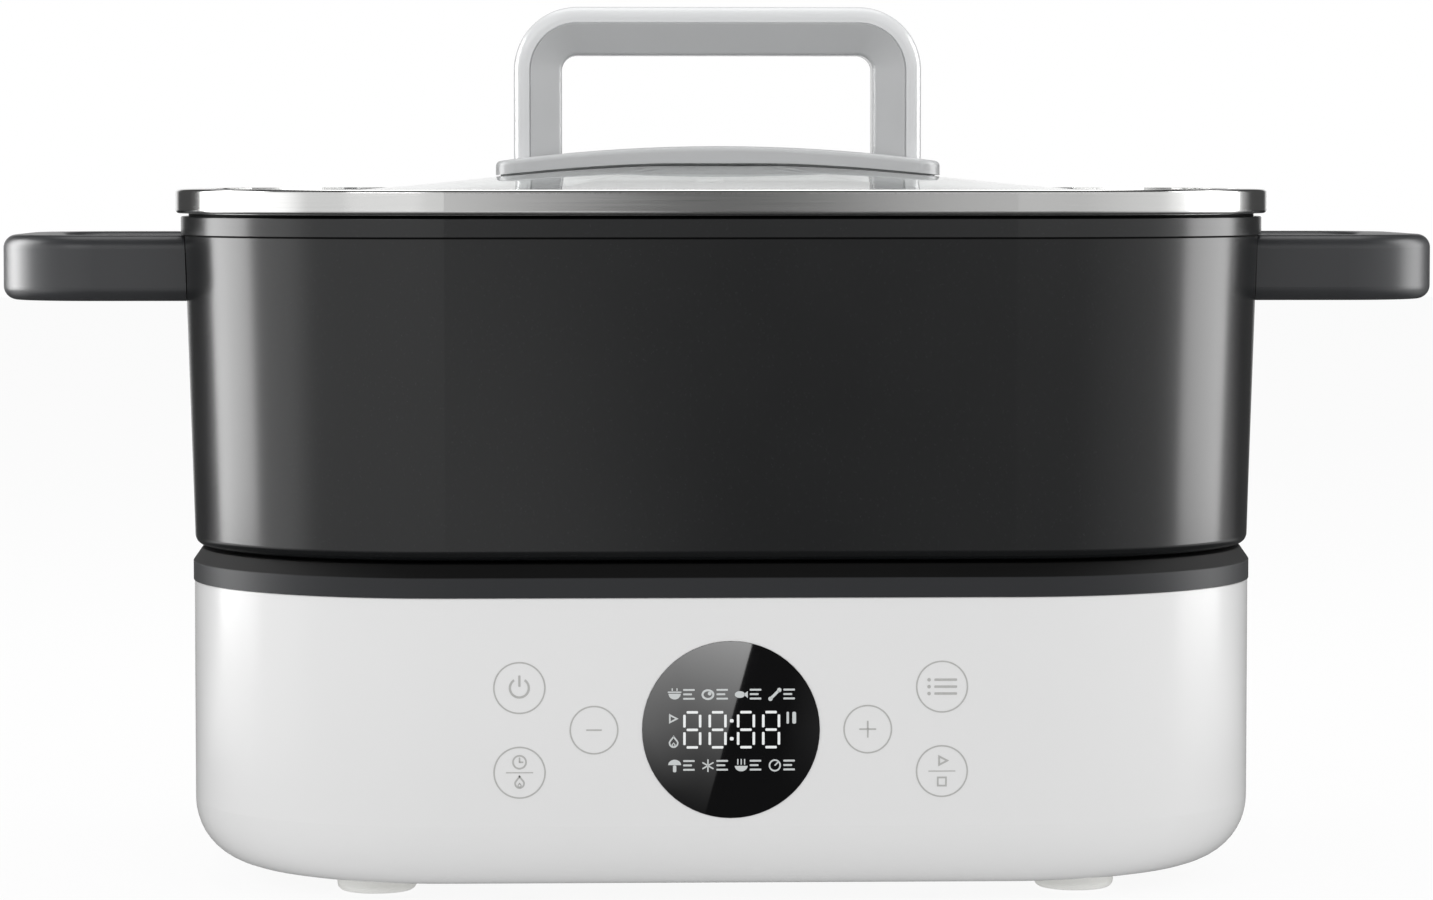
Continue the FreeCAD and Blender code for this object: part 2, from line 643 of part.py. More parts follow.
def feet():
    """Make the four push-in feet."""
    foot = lathe([
        (0, 0),
        (FOOT_RADIUS, 0, FOOT_RADIUS - FOOT_FLAT_RADIUS),
        (FOOT_RADIUS, SHELL_LOW),
        (FOOT_STEM_RADIUS, SHELL_LOW),
        (FOOT_STEM_RADIUS, COVER_TOP),
        (FOOT_BARB_RADIUS, COVER_TOP),
        (FOOT_STEM_RADIUS, COVER_TOP + FOOT_BARB_HEIGHT),
        (0, COVER_TOP + FOOT_BARB_HEIGHT),
    ])
    return Part.makeCompound([turned(foot, 0, V(x, y, 0)) for x, y in foot_places()])


def housing_screws():
    """Make the six long screws that hold the cover and shell to the deck's posts."""
    seat = SHELL_LOW + BIG_SCREW[1]
    length = LEDGE_TOP + POST_SCREW_DEPTH - seat
    return Part.makeCompound([screw(BIG_SCREW, V(x, y, seat), UP, length) for x, y in post_places()])


def deck():
    """Make the dark deck: a sloped rim, a flat top with the plate's opening, and screw posts."""
    skirt_out = -SHELL_WALL - LOCATE_PLAY
    skirt_in = skirt_out - DECK_SKIRT_WALL
    skirt_low = SHELL_TOP - DECK_SKIRT_DEPTH
    lap = skirt_in - DECK_THICKNESS
    edge = ring([
        (DECK_PROUD, SHELL_TOP),
        (DECK_PROUD, SHELL_TOP + DECK_BAND, DECK_EDGE_ROUND),
        (DECK_PROUD - DECK_SLOPE_INSET, DECK_TOP, DECK_EDGE_ROUND),
        (lap, DECK_TOP),
        (lap, DECK_UNDER),
        (skirt_in, DECK_UNDER),
        (skirt_in, skirt_low),
        (skirt_out, skirt_low),
        (skirt_out, SHELL_TOP),
    ])
    joined = DECK_UNDER + DECK_THICKNESS / 2
    posts = [rod(x, y, LEDGE_TOP, joined, POST_RADIUS) for x, y in post_places()]
    posts += [rod(x, y, SHIELD_TOP, joined, BOSS_RADIUS) for x, y in boss_places()]
    body = merged([edge, slab(lap, DECK_UNDER, DECK_TOP)] + posts)
    cuts = [rod(0, 0, DECK_UNDER - PAST, DECK_TOP + PAST, PLATE_RADIUS + PLATE_PLAY)]
    cuts += [rod(x, y, LEDGE_TOP - PAST, LEDGE_TOP + POST_SCREW_DEPTH + PAST, BIG_SCREW[2] + SHANK_PLAY)
             for x, y in post_places()]
    cuts += [rod(x, y, SHIELD_TOP - PAST, SHIELD_TOP + SHIELD_SCREW_DEPTH + PAST,
                 SMALL_SCREW[2] + SHANK_PLAY) for x, y in boss_places()]
    return body.cut(cuts)


# ---- Heating group ---------------------------------------------------------------------------
def heating_plate():
    """Make the cast plate, with a ridge for the tube and three legs."""
    hole = SENSOR_CAP_RADIUS + SENSOR_HOLE_PLAY
    ridge_half = ELEMENT_RADIUS + ELEMENT_COVER
    ridge_low = PLATE_UNDER - ELEMENT_DROP - ELEMENT_RADIUS - ELEMENT_COVER / 2
    disc = lathe([
        (hole, PLATE_TOP, PLATE_ROUND),
        (PLATE_RADIUS, PLATE_TOP, PLATE_ROUND),
        (PLATE_RADIUS, PLATE_UNDER),
        (ELEMENT_RING_RADIUS + ridge_half, PLATE_UNDER),
        (ELEMENT_RING_RADIUS + ridge_half, ridge_low, PLATE_ROUND),
        (ELEMENT_RING_RADIUS - ridge_half, ridge_low, PLATE_ROUND),
        (ELEMENT_RING_RADIUS - ridge_half, PLATE_UNDER),
        (hole, PLATE_UNDER),
    ])
    legs = [rod(x, y, SHIELD_TOP, PLATE_UNDER + PLATE_THICKNESS / 2, LEG_RADIUS)
            for x, y in leg_places()]
    cuts = [rod(x, y, SHIELD_TOP - PAST, SHIELD_TOP + SHIELD_SCREW_DEPTH + PAST,
                SMALL_SCREW[2] + SHANK_PLAY) for x, y in leg_places()]
    return merged([disc] + legs).cut(cuts + [heating_tube()])


def heating_tube():
    """Make the sheathed heating tube: a broken ring whose two ends turn down."""
    low = V(0, 0, -ELEMENT_BEND)
    half_way = math.sqrt(0.5)
    bends = []
    for side in (1, -1):
        point, tangent = element_end(side)
        outer = point + tangent * ELEMENT_BEND + low
        middle = point + tangent * (ELEMENT_BEND * half_way) + low * (1 - half_way)
        tail = V(outer.x, outer.y, ELEMENT_TAIL_LOW)
        bends.append((tail, outer, middle, point))
    (tail, outer, middle, point), (last_tail, last_outer, last_middle, last_point) = bends
    back = V(0, ELEMENT_RING_RADIUS, point.z)
    path = Part.Wire([
        Part.makeLine(tail, outer),
        Part.Arc(outer, middle, point).toShape(),
        Part.Arc(point, back, last_point).toShape(),
        Part.Arc(last_point, last_middle, last_outer).toShape(),
        Part.makeLine(last_outer, last_tail),
    ])
    mouth = Part.Wire(Part.makeCircle(ELEMENT_RADIUS, tail, UP))
    return path.makePipeShell([mouth], True, False)


def heater_terminals():
    """Make the two contact pins in the tube's ends."""
    pins = []
    for side in (-1, 1):
        x, y = tail_place(side)
        pins.append(rod(x, y, ELEMENT_TAIL_LOW - TERMINAL_LENGTH, ELEMENT_TAIL_LOW, TERMINAL_RADIUS))
    return Part.makeCompound(pins)


def heat_shield():
    """Make the sheet-metal pan that carries the plate under the deck."""
    inner = GUIDE_OUTER_RADIUS + LOCATE_PLAY
    lip_top = SHIELD_UNDER + SHIELD_LIP
    pan = lathe([
        (inner, SHIELD_UNDER),
        (SHIELD_RADIUS, SHIELD_UNDER, 2 * SHIELD_THICKNESS),
        (SHIELD_RADIUS, lip_top),
        (SHIELD_RADIUS - SHIELD_THICKNESS, lip_top),
        (SHIELD_RADIUS - SHIELD_THICKNESS, SHIELD_TOP, SHIELD_THICKNESS),
        (inner, SHIELD_TOP),
    ])
    through = (SHIELD_UNDER - PAST, SHIELD_TOP + PAST)
    cuts = [rod(x, y, *through, SMALL_SCREW[2] + HOLE_PLAY) for x, y in leg_places() + boss_places()]
    cuts += [rod(*tail_place(side), *through, TERMINAL_HOLE_RADIUS) for side in (-1, 1)]
    cuts.append(rod(CUTOUT_X, 0, *through, CUTOUT_RADIUS + PLATE_PLAY))
    return pan.cut(cuts)


def shield_screws():
    """Make the screws from under the shield into the plate's legs and the deck's bosses."""
    length = SHIELD_THICKNESS + SHIELD_SCREW_DEPTH
    return Part.makeCompound([screw(SMALL_SCREW, V(x, y, SHIELD_UNDER), UP, length)
                              for x, y in leg_places() + boss_places()])


def earth_stud():
    """Make the earth stud under the shield."""
    return rod(EARTH_STUD_X, EARTH_STUD_Y, SHIELD_UNDER - EARTH_STUD_LENGTH, SHIELD_UNDER,
               EARTH_STUD_RADIUS)


def thermal_cutout():
    """Make the thermal cut-out under the plate, with its two tabs."""
    low = PLATE_UNDER - CUTOUT_HEIGHT
    body = lathe([
        (0, PLATE_UNDER),
        (CUTOUT_RADIUS, PLATE_UNDER),
        (CUTOUT_RADIUS, PLATE_UNDER - CUTOUT_CAP_HEIGHT),
        (CUTOUT_CAP_RADIUS, PLATE_UNDER - CUTOUT_CAP_HEIGHT),
        (CUTOUT_CAP_RADIUS, low),
        (0, low),
    ])
    body.translate(V(CUTOUT_X, 0, 0))
    half = TAB_THICKNESS / 2
    tabs = [box(CUTOUT_X - CUTOUT_TAB_WIDTH / 2, CUTOUT_X + CUTOUT_TAB_WIDTH / 2, y - half, y + half,
                low - CUTOUT_TAB_LENGTH, low + half) for y in mirrored_pair(CUTOUT_TAB_SPREAD)]
    return merged([body] + tabs)


# ---- Temperature sensor ----------------------------------------------------------------------
def sensor_guide():
    """Make the flanged sleeve that guides the sensor's stem."""
    inner = SENSOR_STEM_RADIUS + SLIDE_PLAY
    return lathe([
        (inner, GUIDE_LOW),
        (GUIDE_OUTER_RADIUS, GUIDE_LOW),
        (GUIDE_OUTER_RADIUS, SHIELD_TOP),
        (GUIDE_FLANGE_RADIUS, SHIELD_TOP),
        (GUIDE_FLANGE_RADIUS, GUIDE_TOP),
        (inner, GUIDE_TOP),
    ])


def sensor_cap():
    """Make the sprung cap, with its hollow stem and clip groove."""
    groove_radius = SENSOR_STEM_RADIUS - CLIP_GROOVE
    groove_low = CLIP_TOP - CLIP_THICKNESS
    return lathe([
        (0, SENSOR_TOP),
        (SENSOR_CAP_RADIUS, SENSOR_TOP, PLATE_ROUND),
        (SENSOR_CAP_RADIUS, SENSOR_CAP_UNDER),
        (SENSOR_STEM_RADIUS, SENSOR_CAP_UNDER),
        (SENSOR_STEM_RADIUS, CLIP_TOP),
        (groove_radius, CLIP_TOP),
        (groove_radius, groove_low),
        (SENSOR_STEM_RADIUS, groove_low),
        (SENSOR_STEM_RADIUS, STEM_LOW),
        (SENSOR_BORE_RADIUS, STEM_LOW),
        (SENSOR_BORE_RADIUS, THERMISTOR_TOP),
        (0, THERMISTOR_TOP),
    ])


def sensor_clip():
    """Make the clip that stops the cap coming out of its guide."""
    groove_radius = SENSOR_STEM_RADIUS - CLIP_GROOVE
    return rod(0, 0, CLIP_TOP - CLIP_THICKNESS, CLIP_TOP, CLIP_RADIUS).cut(
        rod(0, 0, CLIP_TOP - 2 * CLIP_THICKNESS, CLIP_TOP + CLIP_THICKNESS, groove_radius))


def thermistor():
    """Make the thermistor bead at the top of the stem's bore."""
    return rod(0, 0, THERMISTOR_TOP - THERMISTOR_LENGTH, THERMISTOR_TOP,
               SENSOR_BORE_RADIUS - SLIDE_PLAY)


def sensor_spring():
    """Make the spring that lifts the cap."""
    body = spring(SPRING_RADIUS, SPRING_WIRE, SPRING_TURNS, SENSOR_CAP_UNDER - GUIDE_TOP)
    body.translate(V(0, 0, GUIDE_TOP + SPRING_WIRE))
    return body


# ---- Pot and side handles --------------------------------------------------------------------
def lug(side, y, grow):
    """Make one cast lug, or its socket when grow is a clearance."""
    near = HALF_WIDTH + POT_TOP_OFFSET - POT_WALL / 2
    far = HALF_WIDTH + POT_TOP_OFFSET + LUG_LENGTH + grow
    half_y = LUG_WIDTH / 2 + grow
    half_z = LUG_HEIGHT / 2 + grow
    return box(min(side * near, side * far), max(side * near, side * far), y - half_y, y + half_y,
               HANDLE_MIDDLE - half_z, HANDLE_MIDDLE + half_z)


def lug_screw_place(side, y):
    """Give the X and Y of the screw in one lug."""
    return side * (HALF_WIDTH + POT_TOP_OFFSET + LUG_LENGTH * LUG_SCREW_SHARE), y


def pot_body():
    """Make the die-cast pot, with its lip, its recess for the plate and four handle lugs."""
    floor_top = POT_LOW + POT_FLOOR
    wall = ring([
        (-FLOOR_OVERLAP, POT_LOW),
        (POT_BOTTOM_OFFSET, POT_LOW, POT_EDGE_RADIUS),
        (POT_TOP_OFFSET, LIP_UNDER),
        (POT_TOP_OFFSET + LIP_PROUD, LIP_UNDER),
        (POT_TOP_OFFSET + LIP_PROUD, POT_TOP, LIP_ROUND),
        (MOUTH_OFFSET, POT_TOP, LIP_ROUND),
        (POT_BOTTOM_OFFSET - POT_WALL, floor_top, POT_INNER_RADIUS),
        (-FLOOR_OVERLAP, floor_top),
    ])
    lugs = [lug(side, y, 0) for side, y in lug_places()]
    body = merged([wall, slab(-FLOOR_OVERLAP, POT_LOW, floor_top)] + lugs)
    lug_low = HANDLE_MIDDLE - LUG_HEIGHT / 2
    cuts = [rod(0, 0, POT_LOW - PAST, PLATE_TOP, PLATE_RADIUS + RECESS_PLAY)]
    cuts += [rod(*lug_screw_place(side, y), lug_low - PAST, lug_low + LUG_SCREW_DEPTH + PILOT_SPARE,
                 BIG_SCREW[2] + SHANK_PLAY) for side, y in lug_places()]
    return body.cut(cuts)


def handle_right():
    """Make the right loop handle, shaped to the pot's wall and socketed over two lugs."""
    root = HALF_WIDTH - HANDLE_BAR_WIDTH
    inner_end = HANDLE_END_X - HANDLE_BAR_WIDTH
    inner_span = HANDLE_HALF_SPAN - HANDLE_BAR_WIDTH
    inner_radius = HANDLE_OUTER_RADIUS - HANDLE_BAR_WIDTH
    loop = rounded_wire([(V(x, y, HANDLE_LOW), radius) for x, y, radius in (
        (root, -HANDLE_HALF_SPAN, 0),
        (HANDLE_END_X, -HANDLE_HALF_SPAN, HANDLE_OUTER_RADIUS),
        (HANDLE_END_X, HANDLE_HALF_SPAN, HANDLE_OUTER_RADIUS),
        (root, HANDLE_HALF_SPAN, 0),
        (root, inner_span, 0),
        (inner_end, inner_span, inner_radius),
        (inner_end, -inner_span, inner_radius),
        (root, -inner_span, 0),
    )])
    bar = Part.Face(loop).extrude(V(0, 0, HANDLE_BAR_HEIGHT))
    level_edges = [edge for edge in bar.Edges
                   if edge.BoundBox.ZLength < TINY and edge.BoundBox.XMax > root + TINY]
    bar = bar.makeFillet(HANDLE_EDGE_ROUND, level_edges)
    pot_side = ring([
        (-FLOOR_OVERLAP, POT_LOW),
        (POT_BOTTOM_OFFSET + SHADOW_GAP, POT_LOW),
        (POT_TOP_OFFSET + SHADOW_GAP, LIP_UNDER),
        (-FLOOR_OVERLAP, LIP_UNDER),
    ])
    cuts = [pot_side]
    for y in mirrored_pair(ARM_Y):
        x = lug_screw_place(1, y)[0]
        cuts.append(lug(1, y, LOCATE_PLAY))
        cuts.append(rod(x, y, HANDLE_LOW - PAST, HANDLE_SCREW_SEAT, BIG_SCREW[0] + HOLE_PLAY))
        cuts.append(rod(x, y, HANDLE_LOW, HANDLE_MIDDLE, BIG_SCREW[2] + HOLE_PLAY))
    return bar.cut(cuts)


def handle_left():
    """Make the left loop handle, the right one turned round."""
    return turned(handle_right(), 180)


def handle_screws():
    """Make the four screws that hold the side handles to the lugs, from below."""
    length = HANDLE_MIDDLE - LUG_HEIGHT / 2 + LUG_SCREW_DEPTH - HANDLE_SCREW_SEAT
    return Part.makeCompound([
        screw(BIG_SCREW, V(*lug_screw_place(side, y), HANDLE_SCREW_SEAT), UP, length)
        for side, y in lug_places()])


# ---- Lid -------------------------------------------------------------------------------------
def lid_rim():
    """Make the folded steel rim: a channel round the glass, a seat on the lip and a skirt."""
    inner = RIM_OFFSET - RIM_SHEET
    skirt_out = MOUTH_OFFSET - RIM_SKIRT_PLAY
    seat_out = skirt_out + RIM_SEAT_WIDTH
    skirt_low = POT_TOP - RIM_SKIRT_DEPTH
    return ring([
        (RIM_OFFSET, RIM_LOW, RIM_BOTTOM_ROUND),
        (RIM_OFFSET, RIM_TOP, RIM_TOP_ROUND),
        (RIM_OFFSET - RIM_FLANGE, RIM_TOP),
        (RIM_OFFSET - RIM_FLANGE, RIM_TOP - RIM_SHEET),
        (inner, RIM_TOP - RIM_SHEET, RIM_TOP_ROUND - RIM_SHEET),
        (inner, RIM_LOW + RIM_SHEET, RIM_BOTTOM_ROUND - RIM_SHEET),
        (seat_out - RIM_SHEET, RIM_LOW + RIM_SHEET),
        (seat_out - RIM_SHEET, POT_TOP + RIM_SHEET),
        (skirt_out - RIM_SHEET, POT_TOP + RIM_SHEET),
        (skirt_out - RIM_SHEET, skirt_low),
        (skirt_out, skirt_low),
        (skirt_out, POT_TOP),
        (seat_out, POT_TOP),
        (seat_out, RIM_LOW),
    ])


def rim_seal():
    """Make the seal that beds the glass's edge in the rim."""
    outer = RIM_OFFSET - RIM_SHEET - SEAL_PLAY
    glass_edge = GLASS_EDGE_OFFSET + SEAL_PLAY
    low = RIM_LOW + RIM_SHEET + SEAL_PLAY
    top = RIM_TOP - RIM_SHEET - SEAL_PLAY
    flange_end = RIM_OFFSET - RIM_FLANGE
    lower_lap = GLASS_EDGE_OFFSET - SEAL_LOWER_LAP
    return ring([
        (outer, low, RIM_BOTTOM_ROUND - RIM_SHEET),
        (outer, top, RIM_TOP_ROUND - RIM_SHEET),
        (flange_end, top),
        (flange_end, GLASS_EDGE_TOP + SEAL_PLAY),
        (glass_edge, GLASS_EDGE_TOP + SEAL_PLAY),
        (glass_edge, GLASS_EDGE_LOW - SEAL_PLAY),
        (lower_lap, GLASS_EDGE_LOW - SEAL_PLAY),
        (lower_lap, low),
    ])


def dome_height(share):
    """Give the glass's height above its edge band: share runs from 0 at the crown to 1 at the band."""
    return DOME_RISE / 2 * (1 + math.cos(math.pi * share))


def dome(lift):
    """Make the solid under the glass's upper surface, moved up by lift."""
    wires = []
    for share in DOME_SHARES:
        scale = share * DOME_REACH / HALF_WIDTH
        z = GLASS_EDGE_TOP + dome_height(share) + lift
        corners = [(V(sx * HALF_WIDTH * scale, sy * HALF_DEPTH * scale, z), CORNER_RADIUS * scale)
                   for sx, sy in QUADRANTS]
        wires.append(rounded_wire(corners))
    return Part.makeLoft(wires, True, False)


def vent_frame():
    """Give the steam vent's place on the glass: a point and the outward normal there."""
    reach = DOME_REACH * HALF_DEPTH / HALF_WIDTH
    share = VENT_Y / reach
    fall = DOME_RISE / 2 * math.pi / reach * math.sin(math.pi * share)
    return V(0, VENT_Y, GLASS_EDGE_TOP + dome_height(share)), V(0, fall, 1).normalize()


def lid_glass():
    """Make the tempered glass: a flat edge band that rises to a low dome."""
    body = slab(GLASS_EDGE_OFFSET, GLASS_EDGE_LOW, GLASS_EDGE_TOP).fuse(dome(0)).cut(
        dome(-GLASS_THICKNESS))
    point, normal = vent_frame()
    depth = 2 * (GLASS_THICKNESS + DOME_RISE)
    cuts = [Part.makeCylinder(VENT_TUBE_RADIUS + SEAL_PLAY, depth, point - normal * (depth / 2), normal)]
    cuts += [rod(x, 0, GLASS_EDGE_LOW, ARCH_TOP, BUSH_NECK_RADIUS + LOCATE_PLAY)
             for x in mirrored_pair(LEG_X)]
    return body.cut(cuts)


def steam_vent():
    """Make the steel eyelet in the glass's rear."""
    under = -GLASS_THICKNESS - SEAL_PLAY
    body = lathe([
        (VENT_HOLE_RADIUS, VENT_FLANGE_THICKNESS + SEAL_PLAY),
        (VENT_FLANGE_RADIUS, VENT_FLANGE_THICKNESS + SEAL_PLAY, VENT_FLANGE_THICKNESS / 2),
        (VENT_FLANGE_RADIUS, SEAL_PLAY),
        (VENT_TUBE_RADIUS, SEAL_PLAY),
        (VENT_TUBE_RADIUS, under),
        (VENT_COLLAR_RADIUS, under),
        (VENT_COLLAR_RADIUS, under - VENT_FLANGE_THICKNESS),
        (VENT_HOLE_RADIUS, under - VENT_FLANGE_THICKNESS),
    ])
    point, normal = vent_frame()
    body.Placement = FreeCAD.Placement(point, FreeCAD.Rotation(UP, normal))
    return body


def saddle_blank():
    """Make the saddle's upper shape, before its underside is fitted to the glass."""
    low = GLASS_EDGE_TOP + GASKET_THICKNESS
    end_top = SADDLE_TOP - SADDLE_DROP
    left_low = V(-SADDLE_HALF_LENGTH, -SADDLE_HALF_DEPTH, low)
    right_low = V(SADDLE_HALF_LENGTH, -SADDLE_HALF_DEPTH, low)
    left_top = V(-SADDLE_HALF_LENGTH, -SADDLE_HALF_DEPTH, end_top)
    right_top = V(SADDLE_HALF_LENGTH, -SADDLE_HALF_DEPTH, end_top)
    crown = V(0, -SADDLE_HALF_DEPTH, SADDLE_TOP)
    outline = Part.Wire([
        Part.makeLine(left_low, left_top),
        Part.Arc(left_top, crown, right_top).toShape(),
        Part.makeLine(right_top, right_low),
        Part.makeLine(right_low, left_low),
    ])
    block = Part.Face(outline).extrude(V(0, 2 * SADDLE_HALF_DEPTH, 0))
    block = block.makeFillet(SADDLE_CORNER_RADIUS, [
        edge for edge in block.Edges
        if edge.BoundBox.XLength < TINY and edge.BoundBox.YLength < TINY])
    return block.makeFillet(SADDLE_ROUND, [
        edge for edge in block.Edges if edge.BoundBox.ZMin > end_top - TINY])


def saddle_holes():
    """Make the two clearance holes for the lid handle's screws."""
    return [rod(x, 0, GLASS_EDGE_LOW, ARCH_TOP - ARCH_BAR, LID_SCREW[2] + HOLE_PLAY)
            for x in mirrored_pair(LEG_X)]


def handle_saddle():
    """Make the curved plate under the lid handle."""
    return saddle_blank().cut([dome(GASKET_THICKNESS)] + saddle_holes())


def saddle_gasket():
    """Make the thin gasket between the saddle and the glass."""
    half_x = SADDLE_HALF_LENGTH - GASKET_INSET
    half_y = SADDLE_HALF_DEPTH - GASKET_INSET
    corners = [(V(sx * half_x, sy * half_y, GLASS_EDGE_TOP), SADDLE_CORNER_RADIUS)
               for sx, sy in QUADRANTS]
    column = Part.Face(rounded_wire(corners)).extrude(V(0, 0, 2 * DOME_RISE))
    return column.common(dome(GASKET_THICKNESS)).cut([dome(0)] + saddle_holes())


def arch_outline(inset, y, low):
    """Make the arch's outline, moved inwards by inset, closed below at low."""
    half = ARCH_HALF_LENGTH - inset
    top = ARCH_TOP - inset
    radius = ARCH_RADIUS - inset
    return rounded_wire([
        (V(-half, y, low), 0),
        (V(-half, y, top), radius),
        (V(half, y, top), radius),
        (V(half, y, low), 0),
    ])


def arch_groove(side):
    """Make the cutter for the groove that parts the outer band from the inner faces, on one side."""
    face_y = side * ARCH_DEPTH / 2
    low = CROWN_TOP - DOME_RISE
    depth = V(0, ARCH_GROOVE_DEPTH + PAST, 0)
    start_y = min(face_y - side * ARCH_GROOVE_DEPTH, face_y + side * PAST)
    outer, inner = [
        Part.Face(arch_outline(ARCH_BAND + offset, start_y, low)).extrude(depth)
        for offset in (-ARCH_GROOVE_WIDTH, 0)]
    return outer.cut(inner)


def lid_handle():
    """Make the arch handle: a rounded outer band, a fine groove and inner faces that lean back."""
    half_depth = ARCH_DEPTH / 2
    low = CROWN_TOP - DOME_RISE / 2
    block = Part.Face(arch_outline(0, -half_depth, low)).extrude(V(0, ARCH_DEPTH, 0))
    block = block.makeFillet(ARCH_ROUND, [
        edge for edge in block.Edges
        if edge.BoundBox.YLength < TINY and edge.BoundBox.ZMax > low + TINY])
    opening_low = low - PAST
    opening = Part.Face(arch_outline(ARCH_BAR, -half_depth - PAST, opening_low)).extrude(
        V(0, ARCH_DEPTH + 2 * PAST, 0))
    cuts = [opening]
    heel_y = half_depth - ARCH_SLOPE
    for side in (-1, 1):
        crease = arch_outline(ARCH_BAND, side * half_depth, opening_low)
        heel = arch_outline(ARCH_BAR, side * heel_y, opening_low)
        cuts.append(Part.makeLoft([crease, heel], True, True))
    block = block.cut(cuts)
    block = block.makeFillet(ARCH_HEEL_ROUND, [
        edge for edge in block.Edges
        if edge.BoundBox.YLength < TINY and abs(abs(edge.BoundBox.YMin) - heel_y) < TINY
        and edge.BoundBox.ZMax > low + TINY])
    cuts = [saddle_blank(), arch_groove(-1), arch_groove(1)]
    cuts += [rod(x, 0, low - PAST, LID_SCREW_TOP + PAST, LID_SCREW[2] + SHANK_PLAY)
             for x in mirrored_pair(LEG_X)]
    return block.cut(cuts)


def lid_bushes():
    """Make the two soft bushes that the screws pass through, under and in the glass."""
    bushes = []
    for x in mirrored_pair(LEG_X):
        pad = rod(x, 0, BUSH_LOW, CROWN_TOP, BUSH_RADIUS).common(dome(-GLASS_THICKNESS))
        neck = rod(x, 0, BUSH_LOW, CROWN_TOP, BUSH_NECK_RADIUS).common(dome(0))
        bushes.append(merged([pad, neck]).cut(saddle_holes()))
    return Part.makeCompound(bushes)


def lid_washers():
    """Make the two steel washers under the bushes."""
    return Part.makeCompound([
        rod(x, 0, BUSH_LOW - WASHER_THICKNESS, BUSH_LOW, WASHER_RADIUS).cut(
            rod(x, 0, BUSH_LOW - 2 * WASHER_THICKNESS, CROWN_TOP, LID_SCREW[2] + HOLE_PLAY))
        for x in mirrored_pair(LEG_X)])


def lid_screws():
    """Make the two screws from under the lid into the arch's legs."""
    seat = BUSH_LOW - WASHER_THICKNESS
    return Part.makeCompound([screw(LID_SCREW, V(x, 0, seat), UP, LID_SCREW_TOP - seat)
                              for x in mirrored_pair(LEG_X)])


# ---- Display and touch keys ------------------------------------------------------------------
def display_window():
    """Make the round tinted window."""
    return rod_y(0, PANEL_Z, LENS_BACK_Y - LENS_THICKNESS, LENS_BACK_Y, LENS_RADIUS)


def display_module():
    """Make the light box behind the window."""
    return rod_y(0, PANEL_Z, LENS_BACK_Y, DISPLAY_FRONT_Y, MODULE_RADIUS)


def display_board():
    """Make the board that carries the light box and the touch posts."""
    board = box(-DISPLAY_HALF_LENGTH, DISPLAY_HALF_LENGTH, DISPLAY_FRONT_Y, DISPLAY_BACK_Y,
                PANEL_Z - DISPLAY_HALF_HEIGHT, PANEL_Z + DISPLAY_HALF_HEIGHT)
    return board.cut([rod_y(x, z, DISPLAY_FRONT_Y - PAST, DISPLAY_BACK_Y + PAST, SMALL_SCREW[2] + HOLE_PLAY)
                      for x, z in display_boss_places()])


def display_screws():
    """Make the display board's screws, driven from behind."""
    length = BOARD_THICKNESS + DISPLAY_SCREW_DEPTH
    return Part.makeCompound([screw(SMALL_SCREW, V(x, DISPLAY_BACK_Y, z), FRONTWARDS, length)
                              for x, z in display_boss_places()])


def touch_posts():
    """Make the conductive foam posts that couple each key's place on the shell to the board."""
    return Part.makeCompound([
        rod_y(x, z, SHELL_INSIDE_Y, DISPLAY_FRONT_Y, KEY_POST_RADIUS).cut(
            rod_y(x, z, SHELL_INSIDE_Y - PAST, DISPLAY_FRONT_Y + PAST, KEY_POST_BORE_RADIUS))
        for x, z in key_places()])


# ---- Mains inlet -----------------------------------------------------------------------------
def pin_places():
    """Give the inlet pins' centres, as X and Z: the earth pin first."""
    return [(0, INLET_Z + PIN_EARTH_RISE), (-PIN_SPREAD, INLET_Z), (PIN_SPREAD, INLET_Z)]


def inlet_pins():
    """Make the three flat pins, with solder tails behind the socket."""
    low = INLET_BACK_Y - PIN_TAIL
    high = INLET_FLOOR_Y + PIN_REACH
    return Part.makeCompound([box(x - PIN_WIDTH / 2, x + PIN_WIDTH / 2, low, high,
                                  z - PIN_HEIGHT / 2, z + PIN_HEIGHT / 2) for x, z in pin_places()])


def inlet_socket():
    """Make the recessed mains inlet with its screwed flange."""
    face_y = HALF_DEPTH + INLET_FLANGE_THICKNESS
    flange = box(-INLET_FLANGE_LENGTH / 2, INLET_FLANGE_LENGTH / 2, HALF_DEPTH, face_y,
                 INLET_Z - INLET_FLANGE_HEIGHT / 2, INLET_Z + INLET_FLANGE_HEIGHT / 2)
    flange = flange.makeFillet(INLET_FLANGE_ROUND, [
        edge for edge in flange.Edges if edge.BoundBox.YLength > INLET_FLANGE_THICKNESS / 2])
    barrel = box(-INLET_BODY_WIDTH / 2, INLET_BODY_WIDTH / 2, INLET_BACK_Y,
                 face_y - INLET_FLANGE_THICKNESS / 2,
                 INLET_Z - INLET_BODY_HEIGHT / 2, INLET_Z + INLET_BODY_HEIGHT / 2)
    half_x = INLET_CAVITY_WIDTH / 2
    low = INLET_Z - INLET_CAVITY_HEIGHT / 2
    high = INLET_Z + INLET_CAVITY_HEIGHT / 2
    mouth = rounded_wire([(V(x, INLET_FLOOR_Y, z), 0) for x, z in (
        (-half_x, low), (half_x, low), (half_x, high - INLET_CHAMFER),
        (half_x - INLET_CHAMFER, high), (INLET_CHAMFER - half_x, high), (-half_x, high - INLET_CHAMFER))])
    cavity = Part.Face(mouth).extrude(V(0, INLET_CAVITY_DEPTH + PAST, 0))
    holes = [rod_y(x, INLET_Z, HALF_DEPTH - PAST, face_y + PAST, SMALL_SCREW[2] + HOLE_PLAY)
             for x in mirrored_pair(INLET_SCREW_X)]
    return merged([flange, barrel]).cut([cavity] + holes + inlet_pins().Solids)


